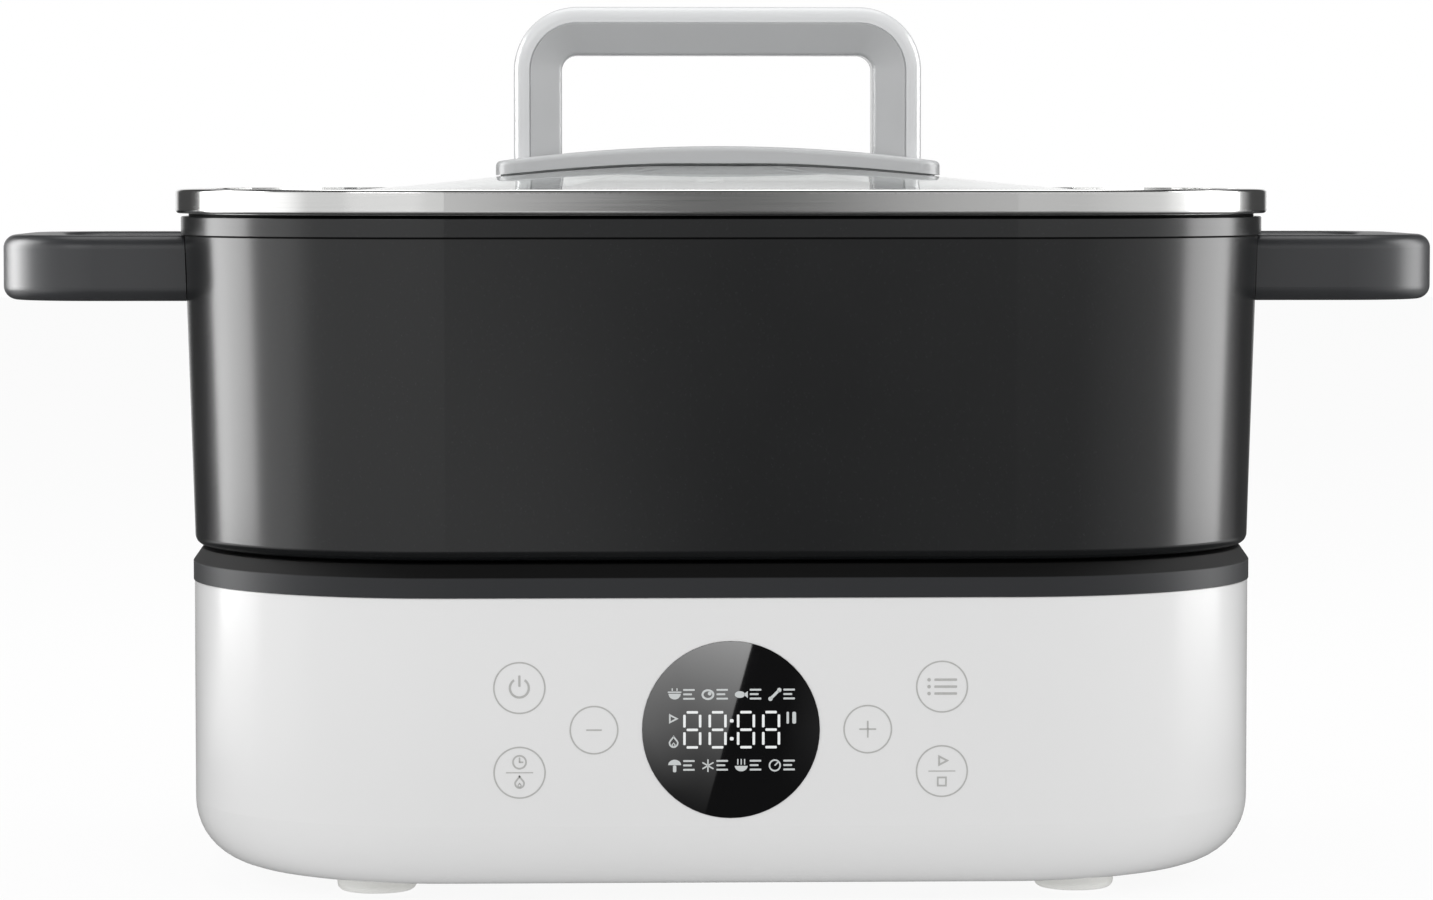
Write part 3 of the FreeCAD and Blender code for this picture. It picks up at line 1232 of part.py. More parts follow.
def inlet_screws():
    """Make the two screws through the inlet's flange."""
    face_y = HALF_DEPTH + INLET_FLANGE_THICKNESS
    return Part.makeCompound([screw(SMALL_SCREW, V(x, face_y, INLET_Z), FRONTWARDS, INLET_SCREW_LENGTH)
                              for x in mirrored_pair(INLET_SCREW_X)])


# ---- Power board -----------------------------------------------------------------------------
def power_board():
    """Make the power board."""
    board = box(BOARD_LEFT, BOARD_RIGHT, BOARD_FRONT, BOARD_BACK, BOARD_LOW, BOARD_TOP)
    return board.cut([rod(x, y, BOARD_LOW - PAST, BOARD_TOP + PAST, SMALL_SCREW[2] + HOLE_PLAY)
                      for x, y in board_places()])


def board_screws():
    """Make the power board's four screws."""
    length = BOARD_THICKNESS + BOARD_POST_HEIGHT - PILOT_SPARE
    return Part.makeCompound([screw(SMALL_SCREW, V(x, y, BOARD_TOP), V(0, 0, -1), length)
                              for x, y in board_places()])


def block_on_board(place, size):
    """Make a block that stands on the power board."""
    x = BOARD_LEFT + place[0]
    y = BOARD_FRONT + place[1]
    width, depth, height = size
    return box(x, x + width, y, y + depth, BOARD_TOP, BOARD_TOP + height)


def can_on_board(place, radius, height):
    """Make an upright cylinder that stands on the power board."""
    return rod(BOARD_LEFT + place[0], BOARD_FRONT + place[1], BOARD_TOP, BOARD_TOP + height, radius)


def transformer():
    """Make the small transformer: a core with its winding."""
    return merged([block_on_board(CORE_PLACE, CORE_SIZE), block_on_board(WINDING_PLACE, WINDING_SIZE)])


def relay():
    """Make the heater relay."""
    return block_on_board(RELAY_PLACE, RELAY_SIZE)


def capacitors():
    """Make the film capacitor and two electrolytic capacitors."""
    cans = [can_on_board(place, CAN_RADIUS, CAN_HEIGHT) for place in CAN_PLACES]
    return Part.makeCompound([block_on_board(FILM_PLACE, FILM_SIZE)] + cans)


def buzzer():
    """Make the buzzer, with its sound hole."""
    hole = can_on_board(BUZZER_PLACE, BUZZER_HOLE_RADIUS, BUZZER_HEIGHT + PAST)
    floor = can_on_board(BUZZER_PLACE, BUZZER_RADIUS, BUZZER_HEIGHT - BUZZER_HOLE_DEPTH)
    return can_on_board(BUZZER_PLACE, BUZZER_RADIUS, BUZZER_HEIGHT).cut(hole.cut(floor))


def board_tabs():
    """Make the four spade tabs that the mains and heater leads go to."""
    return Part.makeCompound([
        box(TAB_X - TAB_THICKNESS / 2, TAB_X + TAB_THICKNESS / 2, y - TAB_WIDTH / 2, y + TAB_WIDTH / 2,
            BOARD_TOP, BOARD_TOP + TAB_HEIGHT) for y in TAB_YS])


def board_sockets():
    """Make the sockets for the ribbon, at both ends, and for the sensor's lead."""
    half = RIBBON_WIDTH / 2 + SOCKET_WALL
    return Part.makeCompound([
        box(RIBBON_X - half, RIBBON_X + half, BOARD_FRONT, BOARD_FRONT + SOCKET_DEPTH,
            BOARD_TOP, BOARD_TOP + SOCKET_HEIGHT),
        box(RIBBON_X - half, RIBBON_X + half, DISPLAY_BACK_Y, DISPLAY_BACK_Y + SOCKET_HEIGHT,
            RIBBON_HIGH_Z - SOCKET_DEPTH / 2, RIBBON_HIGH_Z + SOCKET_DEPTH / 2),
        box(TAB_X - SOCKET_DEPTH / 2, TAB_X + SOCKET_DEPTH / 2, PLUG_Y - SOCKET_DEPTH / 2,
            PLUG_Y + SOCKET_DEPTH / 2, BOARD_TOP, BOARD_TOP + SOCKET_HEIGHT),
    ])


# ---- Inner leads -----------------------------------------------------------------------------
def mains_leads():
    """Make the live, neutral and earth leads from the inlet's pins."""
    tail_y = INLET_BACK_Y - PIN_TAIL
    high = BOARD_TOP + TAB_HEIGHT
    bend_z = high + LEAD_RISE
    live_y, neutral_y = TAB_YS[3], TAB_YS[2]
    live = [V(-PIN_SPREAD, tail_y, INLET_Z), V(-PIN_SPREAD, tail_y - LEAD_RUN, INLET_Z),
            V(TAB_X, live_y, bend_z), V(TAB_X, live_y, high)]
    neutral = [V(PIN_SPREAD, tail_y, INLET_Z), V(PIN_SPREAD, tail_y - LEAD_RUN, INLET_Z),
               V((PIN_SPREAD + TAB_X) / 2, neutral_y + LEAD_RUN / 2, INLET_Z),
               V(TAB_X, neutral_y, bend_z), V(TAB_X, neutral_y, high)]
    stud_low = SHIELD_UNDER - EARTH_STUD_LENGTH
    earth_z = INLET_Z + PIN_EARTH_RISE
    earth = [V(0, tail_y, earth_z), V(0, tail_y - LEAD_RUN, earth_z),
             V(EARTH_STUD_X, EARTH_STUD_Y, stud_low - LEAD_RISE), V(EARTH_STUD_X, EARTH_STUD_Y, stud_low)]
    return Part.makeCompound([lead(points, LEAD_RADIUS) for points in (live, neutral, earth)])


def heater_leads():
    """Make the leads between the board, the thermal cut-out and the heating tube."""
    high = BOARD_TOP + TAB_HEIGHT
    cutout_low = PLATE_UNDER - CUTOUT_HEIGHT - CUTOUT_TAB_LENGTH
    pin_low = ELEMENT_TAIL_LOW - TERMINAL_LENGTH
    left_x, left_y = tail_place(-1)
    right_x, right_y = tail_place(1)
    supply = [V(TAB_X, TAB_YS[1], high), V(TAB_X, TAB_YS[1], high + LEAD_RISE),
              V(CUTOUT_X, CUTOUT_TAB_SPREAD, cutout_low - LEAD_RUN),
              V(CUTOUT_X, CUTOUT_TAB_SPREAD, cutout_low)]
    link = [V(CUTOUT_X, -CUTOUT_TAB_SPREAD, cutout_low),
            V(CUTOUT_X, -CUTOUT_TAB_SPREAD, pin_low - LEAD_RUN),
            V(left_x, left_y, pin_low - LEAD_RISE), V(left_x, left_y, pin_low)]
    back = [V(TAB_X, TAB_YS[0], high), V(TAB_X, TAB_YS[0], high + LEAD_RISE),
            V(right_x, right_y, pin_low - LEAD_RISE), V(right_x, right_y, pin_low)]
    return Part.makeCompound([lead(points, LEAD_RADIUS) for points in (supply, link, back)])


def sensor_lead():
    """Make the thermistor's lead, which hangs free inside the stem's bore."""
    top = THERMISTOR_TOP - THERMISTOR_LENGTH - SENSOR_TRAVEL - SENSOR_CONTACT_GAP
    plug_top = BOARD_TOP + SOCKET_HEIGHT
    half_way = V(TAB_X / 2, PLUG_Y / 2, plug_top + 2 * LEAD_RUN)
    points = [V(0, 0, top), V(0, 0, STEM_LOW - LEAD_RUN), half_way,
              V(TAB_X, PLUG_Y, plug_top + LEAD_RUN), V(TAB_X, PLUG_Y, plug_top)]
    return lead(points, SENSOR_LEAD_RADIUS)


def ribbon_cable():
    """Make the flat cable from the display board to the power board."""
    low_z = BOARD_TOP + SOCKET_HEIGHT / 2
    start_y = DISPLAY_BACK_Y + SOCKET_HEIGHT
    path = rounded_wire([
        (V(RIBBON_X, start_y, RIBBON_HIGH_Z), 0),
        (V(RIBBON_X, start_y + RIBBON_RUN, RIBBON_HIGH_Z), RIBBON_BEND),
        (V(RIBBON_X, start_y + 2 * RIBBON_RUN, low_z), RIBBON_BEND),
        (V(RIBBON_X, BOARD_FRONT, low_z), 0),
    ], closed=False)
    half_x = RIBBON_WIDTH / 2
    half_z = RIBBON_THICKNESS / 2
    mouth = rounded_wire([(V(RIBBON_X + sx * half_x, start_y, RIBBON_HIGH_Z + sz * half_z), 0)
                          for sx, sz in QUADRANTS])
    return path.makePipeShell([mouth], True, False)


PARTS = (
    base_shell, bottom_cover, feet, housing_screws, deck,
    heating_plate, heating_tube, heater_terminals, heat_shield, shield_screws, earth_stud,
    thermal_cutout, sensor_guide, sensor_cap, sensor_clip, thermistor, sensor_spring,
    pot_body, handle_right, handle_left, handle_screws,
    lid_rim, rim_seal, lid_glass, steam_vent, handle_saddle, saddle_gasket, lid_handle,
    lid_bushes, lid_washers, lid_screws,
    display_window, display_module, display_board, display_screws, touch_posts,
    inlet_socket, inlet_pins, inlet_screws,
    power_board, board_screws, transformer, relay, capacitors, buzzer, board_tabs, board_sockets,
    mains_leads, heater_leads, sensor_lead, ribbon_cable,
)

os.makedirs("parts", exist_ok=True)
for make in PARTS:
    make().exportStep("parts/" + make.__name__ + ".step")
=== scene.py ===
"""Visual model of an electric hot pot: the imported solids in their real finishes, with the printed keys,
the lit display signs and the small marks that the solids leave out. Metres, +Z up, the front faces -Y."""
import logging
import math
from dataclasses import dataclass, field
from enum import Enum
from typing import Any, ClassVar

import bmesh
import bpy
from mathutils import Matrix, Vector


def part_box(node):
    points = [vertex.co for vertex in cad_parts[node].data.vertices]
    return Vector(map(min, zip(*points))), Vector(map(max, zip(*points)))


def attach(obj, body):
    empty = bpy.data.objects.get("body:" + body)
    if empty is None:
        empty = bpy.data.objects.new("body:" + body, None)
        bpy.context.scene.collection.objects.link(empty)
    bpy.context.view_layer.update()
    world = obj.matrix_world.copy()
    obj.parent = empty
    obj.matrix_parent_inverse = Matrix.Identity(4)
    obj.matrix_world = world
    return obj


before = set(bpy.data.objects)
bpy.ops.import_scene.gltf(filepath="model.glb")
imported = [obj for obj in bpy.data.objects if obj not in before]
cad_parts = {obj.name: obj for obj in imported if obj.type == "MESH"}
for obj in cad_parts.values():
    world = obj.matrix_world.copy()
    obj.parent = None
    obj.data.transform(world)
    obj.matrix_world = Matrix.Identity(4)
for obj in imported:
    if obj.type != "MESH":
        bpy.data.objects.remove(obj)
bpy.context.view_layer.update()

LOG = logging.getLogger("hot_pot")
MM = 0.001
FACING_FRONT = (math.pi / 2, 0.0, 0.0)
# A mix node's inputs: its share, its two numbers and its two colours. Then its outputs for both kinds.
MIX_SHARE, MIX_LOW, MIX_HIGH, MIX_LOW_COLOUR, MIX_HIGH_COLOUR = 0, 2, 3, 6, 7
MIX_NUMBER, MIX_COLOUR = 0, 2
Colour = tuple[float, float, float, float]
Triple = tuple[float, float, float]
Span = tuple[float, float]
Socket = bpy.types.NodeSocket


# ---- Small tools -----------------------------------------------------------------------------
def linear(hex_colour: str) -> Colour:
    """Turn an sRGB hex colour into linear RGBA.

    Args:
        hex_colour: Six hex digits, with or without a leading #.

    Returns:
        The linear red, green and blue, and an alpha of 1.
    """
    digits = hex_colour.lstrip("#")
    levels = [int(digits[i:i + 2], 16) / 255 for i in (0, 2, 4)]
    # The numbers are the sRGB standard's.
    red, green, blue = [v / 12.92 if v <= 0.04045 else ((v + 0.055) / 1.055) ** 2.4 for v in levels]
    return red, green, blue, 1.0


def shade(hex_colour: str, factor: float) -> Colour:
    """Give an sRGB colour as linear RGBA, made lighter or darker by a factor."""
    red, green, blue, _ = linear(hex_colour)
    return min(1.0, red * factor), min(1.0, green * factor), min(1.0, blue * factor), 1.0


def add_node(tree: bpy.types.NodeTree, kind: str, settings: dict | None = None,
             links: dict | None = None) -> bpy.types.Node:
    """Add one node with its settings and links.

    Args:
        tree: The node tree.
        kind: The node's type name.
        settings: Property or input name, or input number, to value.
        links: Input name or number to the output that feeds it.

    Returns:
        The new node.
    """
    node = tree.nodes.new(kind)
    for key, value in (settings or {}).items():
        if isinstance(key, str) and key in node.bl_rna.properties:
            setattr(node, key, value)
        else:
            node.inputs[key].default_value = value
    for key, source in (links or {}).items():
        tree.links.new(source, node.inputs[key])
    return node


def deselect_all() -> None:
    """Leave object mode with nothing selected."""
    if bpy.context.mode != "OBJECT":
        bpy.ops.object.mode_set(mode="OBJECT")
    bpy.ops.object.select_all(action="DESELECT")


def settle(piece: bpy.types.Object, name: str, material: bpy.types.Material, body: str) -> None:
    """Name a finished piece, give it its material and set it on its body.

    Args:
        piece: The new piece, at the origin.
        name: Its name.
        material: Its material.
        body: The body that it rides on.
    """
    piece.name = name
    piece.data.name = name
    piece.data.materials.clear()
    piece.data.materials.append(material)
    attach(piece, body)
    LOG.info("made %s on %s: %d faces", name, body, len(piece.data.polygons))


# ---- Finishes --------------------------------------------------------------------------------
@dataclass(frozen=True)
class Skin:
    """A material in the making: its nodes, its Principled shader, and object coordinates in metres."""

    tree: bpy.types.NodeTree
    shader: bpy.types.Node
    place: Socket

    def feed(self, name: str, source: Socket) -> None:
        """Link an output to the shader's input of that name."""
        self.tree.links.new(source, self.shader.inputs[name])

    def paint(self, share: Socket, low: Colour, high: Colour) -> None:
        """Colour the surface by a pattern.

        Args:
            share: The pattern, from 0 to 1.
            low: The colour where it is 0.
            high: The colour where it is 1.
        """
        mix = add_node(self.tree, "ShaderNodeMix", {
            "data_type": "RGBA", MIX_LOW_COLOUR: low, MIX_HIGH_COLOUR: high}, {MIX_SHARE: share})
        self.feed("Base Color", mix.outputs[MIX_COLOUR])

    def cover(self, share: Socket, values: dict[str, Any]) -> None:
        """Lay other values over what feeds some of the shader's inputs.

        Args:
            share: How far they cover it, from 0 to 1.
            values: The name of each input, already fed by a texture, and the value that covers it.
        """
        for name, value in values.items():
            kept = self.shader.inputs[name].links[0].from_socket
            kind, low, high, out = "FLOAT", MIX_LOW, MIX_HIGH, MIX_NUMBER
            if name == "Base Color":
                kind, low, high, out = "RGBA", MIX_LOW_COLOUR, MIX_HIGH_COLOUR, MIX_COLOUR
            mix = add_node(self.tree, "ShaderNodeMix", {"data_type": kind, high: value},
                           {MIX_SHARE: share, low: kept})
            self.feed(name, mix.outputs[out])

    def cover_past(self, start_mm: float, end_mm: float, values: dict[str, Any]) -> None:
        """Lay other values over some inputs past a height above the ground.

        Args:
            start_mm: Where they begin to cover.
            end_mm: Where they cover all, higher up or lower down.
            values: The name of each input, already fed by a texture, and the value that covers it.
        """
        height = add_node(self.tree, "ShaderNodeSeparateXYZ", {}, {0: self.place}).outputs["Z"]
        past = add_node(self.tree, "ShaderNodeMapRange", {"From Min": start_mm * MM, "From Max": end_mm * MM},
                        {"Value": height})
        self.cover(past.outputs["Result"], values)

    def emboss(self, height: Socket, depth_mm: float) -> None:
        """Turn a pattern into relief.

        Args:
            height: The pattern, from 0 to 1.
            depth_mm: How much higher than 0 its 1 stands.
        """
        bump = add_node(self.tree, "ShaderNodeBump", {"Strength": 1.0, "Distance": depth_mm * MM},
                        {"Height": height})
        self.feed("Normal", bump.outputs["Normal"])

    def outside(self, corner_mm: Triple, plane: tuple[int, int, int]) -> Socket:
        """Measure how far a place lies outside a rectangle round the origin. Its lines of equal distance
        are the outlines of rounded rectangles.

        Args:
            corner_mm: The rectangle's corner.
            plane: 1 for each of the two axes that it lies in, and 0 for the third.

        Returns:
            The distance's output, in metres.
        """
        corner = tuple(part * MM for part in corner_mm)
        spot = self.place
        for step in ({"operation": "ABSOLUTE"}, {"operation": "MULTIPLY", 1: plane},
                     {"operation": "SUBTRACT", 1: corner}, {"operation": "MAXIMUM", 1: (0, 0, 0)},
                     {"operation": "LENGTH"}):
            node = add_node(self.tree, "ShaderNodeVectorMath", step, {0: spot})
            spot = node.outputs[0]
        return node.outputs["Value"]


@dataclass(frozen=True)
class Finish:
    """A surface with one base colour and roughness; its makers add the texture.

    Sizes are in millimetres. mottle and gloss_drift are how far the colour and the roughness drift, as
    shares of themselves, and grain_detail is how many finer octaves the grain has.
    """

    name: str
    colour: str
    roughness: float = 0.4
    metallic: float = 0.0
    grain_mm: float = 0.6
    grain_depth_mm: float = 0.004
    grain_detail: float = 3.0
    mottle: float = 0.04
    mottle_mm: float = 30.0
    gloss_drift: float = 0.08
    coat: float = 0.0
    coat_roughness: float = 0.1
    specular: float = 0.5

    def material(self) -> bpy.types.Material:
        """Build the material.

        Returns:
            The new material, with a Principled shader and this finish's texture.
        """
        made = bpy.data.materials.new(self.name)
        made.use_nodes = True
        tree = made.node_tree
        tree.nodes.clear()
        shader = add_node(tree, "ShaderNodeBsdfPrincipled", {
            "Base Color": linear(self.colour), "Roughness": self.roughness, "Metallic": self.metallic,
            "Coat Weight": self.coat, "Coat Roughness": self.coat_roughness,
            "Specular IOR Level": self.specular})
        add_node(tree, "ShaderNodeOutputMaterial", {}, {"Surface": shader.outputs["BSDF"]})
        self.texture(Skin(tree, shader, add_node(tree, "ShaderNodeTexCoord").outputs["Object"]))
        return made

    def texture(self, skin: Skin) -> None:
        """Add the surface's texture: here a drift of colour, uneven gloss and a fine grain."""
        self.drift(skin)
        self.grain(skin)

    def drift(self, skin: Skin) -> None:
        """Let the colour and the gloss drift a little over the piece.

        Args:
            skin: The material in the making.
        """
        blobs = add_node(skin.tree, "ShaderNodeTexNoise", {"Scale": 1 / (self.mottle_mm * MM)},
                         {"Vector": skin.place})
        self.vary(skin, blobs.outputs["Fac"], self.mottle, self.gloss_drift)

    def vary(self, skin: Skin, share: Socket, colour: float, gloss: float) -> None:
        """Let the colour and the roughness follow a pattern.

        Args:
            skin: The material in the making.
            share: The pattern, from 0 to 1.
            colour: How far the colour goes to either side, as a share of itself.
            gloss: How far the roughness goes to either side, as a share of itself.
        """
        skin.paint(share, shade(self.colour, 1 - colour), shade(self.colour, 1 + colour))
        spread = add_node(skin.tree, "ShaderNodeMapRange", {
            "To Min": self.roughness * (1 - gloss), "To Max": self.roughness * (1 + gloss)}, {"Value": share})
        skin.feed("Roughness", spread.outputs["Result"])

    def grain(self, skin: Skin) -> None:
        """Add a fine grain in relief.

        Args:
            skin: The material in the making.
        """
        noise = add_node(skin.tree, "ShaderNodeTexNoise", {
            "Scale": 1 / (self.grain_mm * MM), "Detail": self.grain_detail}, {"Vector": skin.place})
        skin.emboss(noise.outputs["Fac"], self.grain_depth_mm)


@dataclass(frozen=True)
class SprayedCoat(Finish):
    """A sprayed, baked coat: soft orange peel and sparse lighter specks.

    speck_core and speck_edge are where a speck starts to fade and where it ends, as shares of its cell.
    """

    speck_mm: float = 1.1
    speck_colour: str = "#4A4B4E"
    speck_core: float = 0.05
    speck_edge: float = 0.14
    speck_strength: float = 0.35

    def texture(self, skin: Skin) -> None:
        """Add orange peel and specks.

        Args:
            skin: The material in the making.
        """
        super().texture(skin)
        cells = add_node(skin.tree, "ShaderNodeTexVoronoi", {"Scale": 1 / (self.speck_mm * MM)},
                         {"Vector": skin.place})
        specks = add_node(skin.tree, "ShaderNodeMapRange", {
            "From Min": self.speck_core, "From Max": self.speck_edge, "To Min": self.speck_strength,
            "To Max": 0.0}, {"Value": cells.outputs["Distance"]})
        skin.cover(specks.outputs["Result"], {"Base Color": linear(self.speck_colour)})


@dataclass(frozen=True)
class BandedFinish(Finish):
    """A moulding whose outer band is satin, while all above a level is painted darker, as painted shade for
    the shadowed gap under the pot, and dull.

    band_top_mm is that level above the ground, and fade_mm is how soft the change is.
    """

    band_top_mm: float = 100.0
    fade_mm: float = 0.4
    top_shade_colour: str = "#0B0B0C"
    above_roughness: float = 0.55

    def texture(self, skin: Skin) -> None:
        """Part the colour and the roughness at the level; the colour above it is painted shade.

        Args:
            skin: The material in the making.
        """
        super().texture(skin)
        # Painted shade: above the band the colour turns near black, standing in for the shadow under the pot.
        skin.cover_past(self.band_top_mm, self.band_top_mm + self.fade_mm, {
            "Base Color": linear(self.top_shade_colour), "Roughness": self.above_roughness})


@dataclass(frozen=True)
class PaintedLightArch(Finish):
    """An arch in one plastic whose outer band is painted paler than its inner faces: painted light and shade
    for how light falls on them.

    Sizes are in millimetres: half_length and top bound the arch, radius is its outer corners', band is
    how wide the outer band is, and fade is how soft its edge is to either side.
    """

    half_length_mm: float = 64.5
    top_mm: float = 268.9
    radius_mm: float = 20.0
    band_mm: float = 5.4
    fade_mm: float = 0.1
    painted_light_band_colour: str = "#DEDFE0"

    def texture(self, skin: Skin) -> None:
        """Paint the paler band colour out from the band's inner edge, as painted light.

        Args:
            skin: The material in the making.
        """
        super().texture(skin)
        corner = (self.half_length_mm - self.radius_mm, 0.0, self.top_mm - self.radius_mm)
        inner_radius = self.radius_mm - self.band_mm
        in_band = add_node(skin.tree, "ShaderNodeMapRange", {
            "From Min": (inner_radius - self.fade_mm) * MM, "From Max": (inner_radius + self.fade_mm) * MM},
            {"Value": skin.outside(corner, (1, 0, 1))})
        # Painted light: the outer band is paler and the inner faces greyer, as they fall in light and shade.
        skin.cover(in_band.outputs["Result"], {"Base Color": linear(self.painted_light_band_colour)})


class Lay(Enum):
    """Which way a metal's brush or tool marks run: along X, or round a rectangle with its corner here,
    in millimetres."""

    ALONG_X = None
    ROUND_OUTLINE = (83.8, 49.0, 0.0)
    ROUND_AXIS = (0.0, 0.0, 0.0)


@dataclass(frozen=True)
class ToolMarked(Finish):
    """Metal with fine marks left by a brush, belt or lathe tool.

    Sizes are in millimetres. Below shade_hem_below it turns to a dark hem of painted shade and above
    edge_above to a bright edge, unless they are 0, and fade is how soft both changes are. stretch draws its
    glints out.
    """

    grain_depth_mm: float = 0.001
    gloss_drift: float = 0.2
    lay: Lay = Lay.ALONG_X
    mark_mm: float = 0.35
    run_mm: float = 45.0
    contrast: float = 0.12
    stretch: float = 0.0
    stretch_turn: float = 0.25
    fade_mm: float = 0.1
    shade_hem_below_mm: float = 0.0
    hem_shade_colour: str = "#1C1C1C"
    dull_roughness: float = 0.7
    edge_above_mm: float = 0.0
    edge_roughness: float = 0.07

    def texture(self, skin: Skin) -> None:
        """Stretch a noise along the lay, then add the hem, the edge and the drawn-out glints.

        Args:
            skin: The material in the making.
        """
        fine = add_node(skin.tree, "ShaderNodeVectorMath", {
            "operation": "SCALE", "Scale": 1 / (self.mark_mm * MM)}, {0: self.across(skin)})
        along = add_node(skin.tree, "ShaderNodeVectorMath", {
            "operation": "SCALE", "Scale": 1 / (self.run_mm * MM)}, {0: skin.place})
        both = add_node(skin.tree, "ShaderNodeVectorMath", {"operation": "ADD"},
                        {0: fine.outputs[0], 1: along.outputs[0]})
        marks = add_node(skin.tree, "ShaderNodeTexNoise", {"Scale": 1.0, "Detail": self.grain_detail},
                         {"Vector": both.outputs[0]}).outputs["Fac"]
        self.vary(skin, marks, self.contrast, self.gloss_drift)
        skin.emboss(marks, self.grain_depth_mm)
        if self.stretch:
            self.stretch_glints(skin)
        # Painted shade: the skirt below this level is darkened to stand in for the shade in the gap between
        # rim and lip.
        if self.shade_hem_below_mm:
            skin.cover_past(self.shade_hem_below_mm + self.fade_mm, self.shade_hem_below_mm - self.fade_mm, {
                "Base Color": linear(self.hem_shade_colour), "Roughness": self.dull_roughness})
        if self.edge_above_mm:
            skin.cover_past(self.edge_above_mm, self.edge_above_mm + self.fade_mm, {
                "Roughness": self.edge_roughness})

    def stretch_glints(self, skin: Skin) -> None:
        """Draw glints out across marks that run round the Z axis.

        Args:
            skin: The material in the making.
        """
        round_axis = add_node(skin.tree, "ShaderNodeTangent", {"direction_type": "RADIAL", "axis": "Z"})
        skin.feed("Tangent", round_axis.outputs["Tangent"])
        skin.shader.inputs["Anisotropic"].default_value = self.stretch
        skin.shader.inputs["Anisotropic Rotation"].default_value = self.stretch_turn

    def across(self, skin: Skin) -> Socket:
        """Give a vector that changes only across the marks.

        Args:
            skin: The material in the making.

        Returns:
            The vector output.
        """
        if self.lay is Lay.ALONG_X:
            return add_node(skin.tree, "ShaderNodeVectorMath", {"operation": "MULTIPLY", 1: (0, 1, 1)},
                            {0: skin.place}).outputs[0]
        height = add_node(skin.tree, "ShaderNodeSeparateXYZ", {}, {0: skin.place})
        return add_node(skin.tree, "ShaderNodeCombineXYZ", {}, {
            "X": skin.outside(self.lay.value, (1, 1, 0)), "Y": height.outputs["Z"]}).outputs[0]


@dataclass(frozen=True)
class ClearGlass(Finish):
    """Tempered soda-lime glass: clear, with a faint roller wave."""

    grain_detail: float = 1.0
    ior: float = 1.5

    def texture(self, skin: Skin) -> None:
        """Make the shader clear and add the wave.

        Args:
            skin: The material in the making.
        """
        skin.shader.inputs["Transmission Weight"].default_value = 1.0
        skin.shader.inputs["IOR"].default_value = self.ior
        self.grain(skin)


@dataclass(frozen=True)
class Lit(Finish):
    """A sign lit from behind: its light evens out with a faint dot grain.

    dimming is how much darker the grain's dots are, as a share of the light.
    """

    grain_detail: float = 1.0
    strength: float = 1.0
    dimming: float = 0.1

    def texture(self, skin: Skin) -> None:
        """Add the glow.

        Args:
            skin: The material in the making.
        """
        dots = add_node(skin.tree, "ShaderNodeTexNoise", {
            "Scale": 1 / (self.grain_mm * MM), "Detail": self.grain_detail}, {"Vector": skin.place})
        mix = add_node(skin.tree, "ShaderNodeMix", {
            "data_type": "RGBA", MIX_LOW_COLOUR: shade(self.colour, 1 - self.dimming),
            MIX_HIGH_COLOUR: linear(self.colour)}, {MIX_SHARE: dots.outputs["Fac"]})
        skin.feed("Emission Color", mix.outputs[MIX_COLOUR])
        skin.shader.inputs["Emission Strength"].default_value = self.strength


@dataclass(frozen=True)
class Striped(Finish):
    """A surface built of parallel strips, such as a ribbon cable, a winding or stacked sheets.

    unit_wave is the length that a wave texture of scale 1 repeats at.
    """

    stripe_colour: str = "#808080"
    pitch_mm: float = 1.27
    direction: str = "X"
    unit_wave: float = math.pi / 10

    def texture(self, skin: Skin) -> None:
        """Add the strips.

        Args:
            skin: The material in the making.
        """
        bands = add_node(skin.tree, "ShaderNodeTexWave", {
            "wave_type": "BANDS", "bands_direction": self.direction,
            "Scale": self.unit_wave / (self.pitch_mm * MM)}, {"Vector": skin.place}).outputs["Fac"]
        skin.paint(bands, linear(self.stripe_colour), linear(self.colour))
        skin.emboss(bands, self.grain_depth_mm)


@dataclass(frozen=True)
class CircuitBoard(Finish):
    """Glass-fibre board under solder mask, with copper tracks that show through it.

    A track ends between track_core and track_edge, as shares of its cell, and shine is how much
    lighter the mask is over it.
    """

    track_mm: float = 3.2
    track_core: float = 0.30
    track_edge: float = 0.36
    shine: float = 1.7

    def texture(self, skin: Skin) -> None:
        """Add the tracks.

        Args:
            skin: The material in the making.
        """
        cells = add_node(skin.tree, "ShaderNodeTexVoronoi", {
            "distance": "CHEBYCHEV", "Scale": 1 / (self.track_mm * MM)}, {"Vector": skin.place})
        tracks = add_node(skin.tree, "ShaderNodeMapRange", {
            "From Min": self.track_core, "From Max": self.track_edge},
            {"Value": cells.outputs["Distance"]}).outputs["Result"]
        skin.paint(tracks, shade(self.colour, self.shine), linear(self.colour))
        skin.emboss(tracks, self.grain_depth_mm)


# Injection-moulded ABS from a polished tool: an even gloss with a faint orange peel.
SHELL = Finish("white_abs_moulded", "#D9D9D9", 0.2, grain_mm=2.4, mottle=0.012, mottle_mm=60.0, specular=0.35)
# The same plastic, a shade greyer, for what the fingers hold.
GRIP = Finish("pale_grey_abs_moulded", "#CACBCC", 0.22, grain_mm=2.4, mottle=0.012, mottle_mm=40.0)
# The same plastic on the arch, painted paler on its outer band than on its greyer inner faces: painted light
# and shade.
ARCH = PaintedLightArch("abs_moulded_painted_light_band", "#C0C1C2", 0.22, grain_mm=2.4, mottle=0.012, mottle_mm=40.0)
# Glass-filled polypropylene from a spark-eroded tool: dark, satin, finely grained, with painted shade that
# turns its top, under the pot, near black.
DECK = BandedFinish("dark_pp_grained_with_painted_shade", "#28292B", 0.42, grain_mm=0.8, grain_depth_mm=0.008, mottle=0.05,
                    specular=0.27, band_top_mm=97.5, top_shade_colour="#060606", above_roughness=0.7)
# Phenolic resin pressed in a polished tool: black with a soft gloss.
BAKELITE = Finish("black_phenolic_pressed", "#303133", 0.34, grain_mm=1.6, grain_depth_mm=0.006, mottle=0.08)
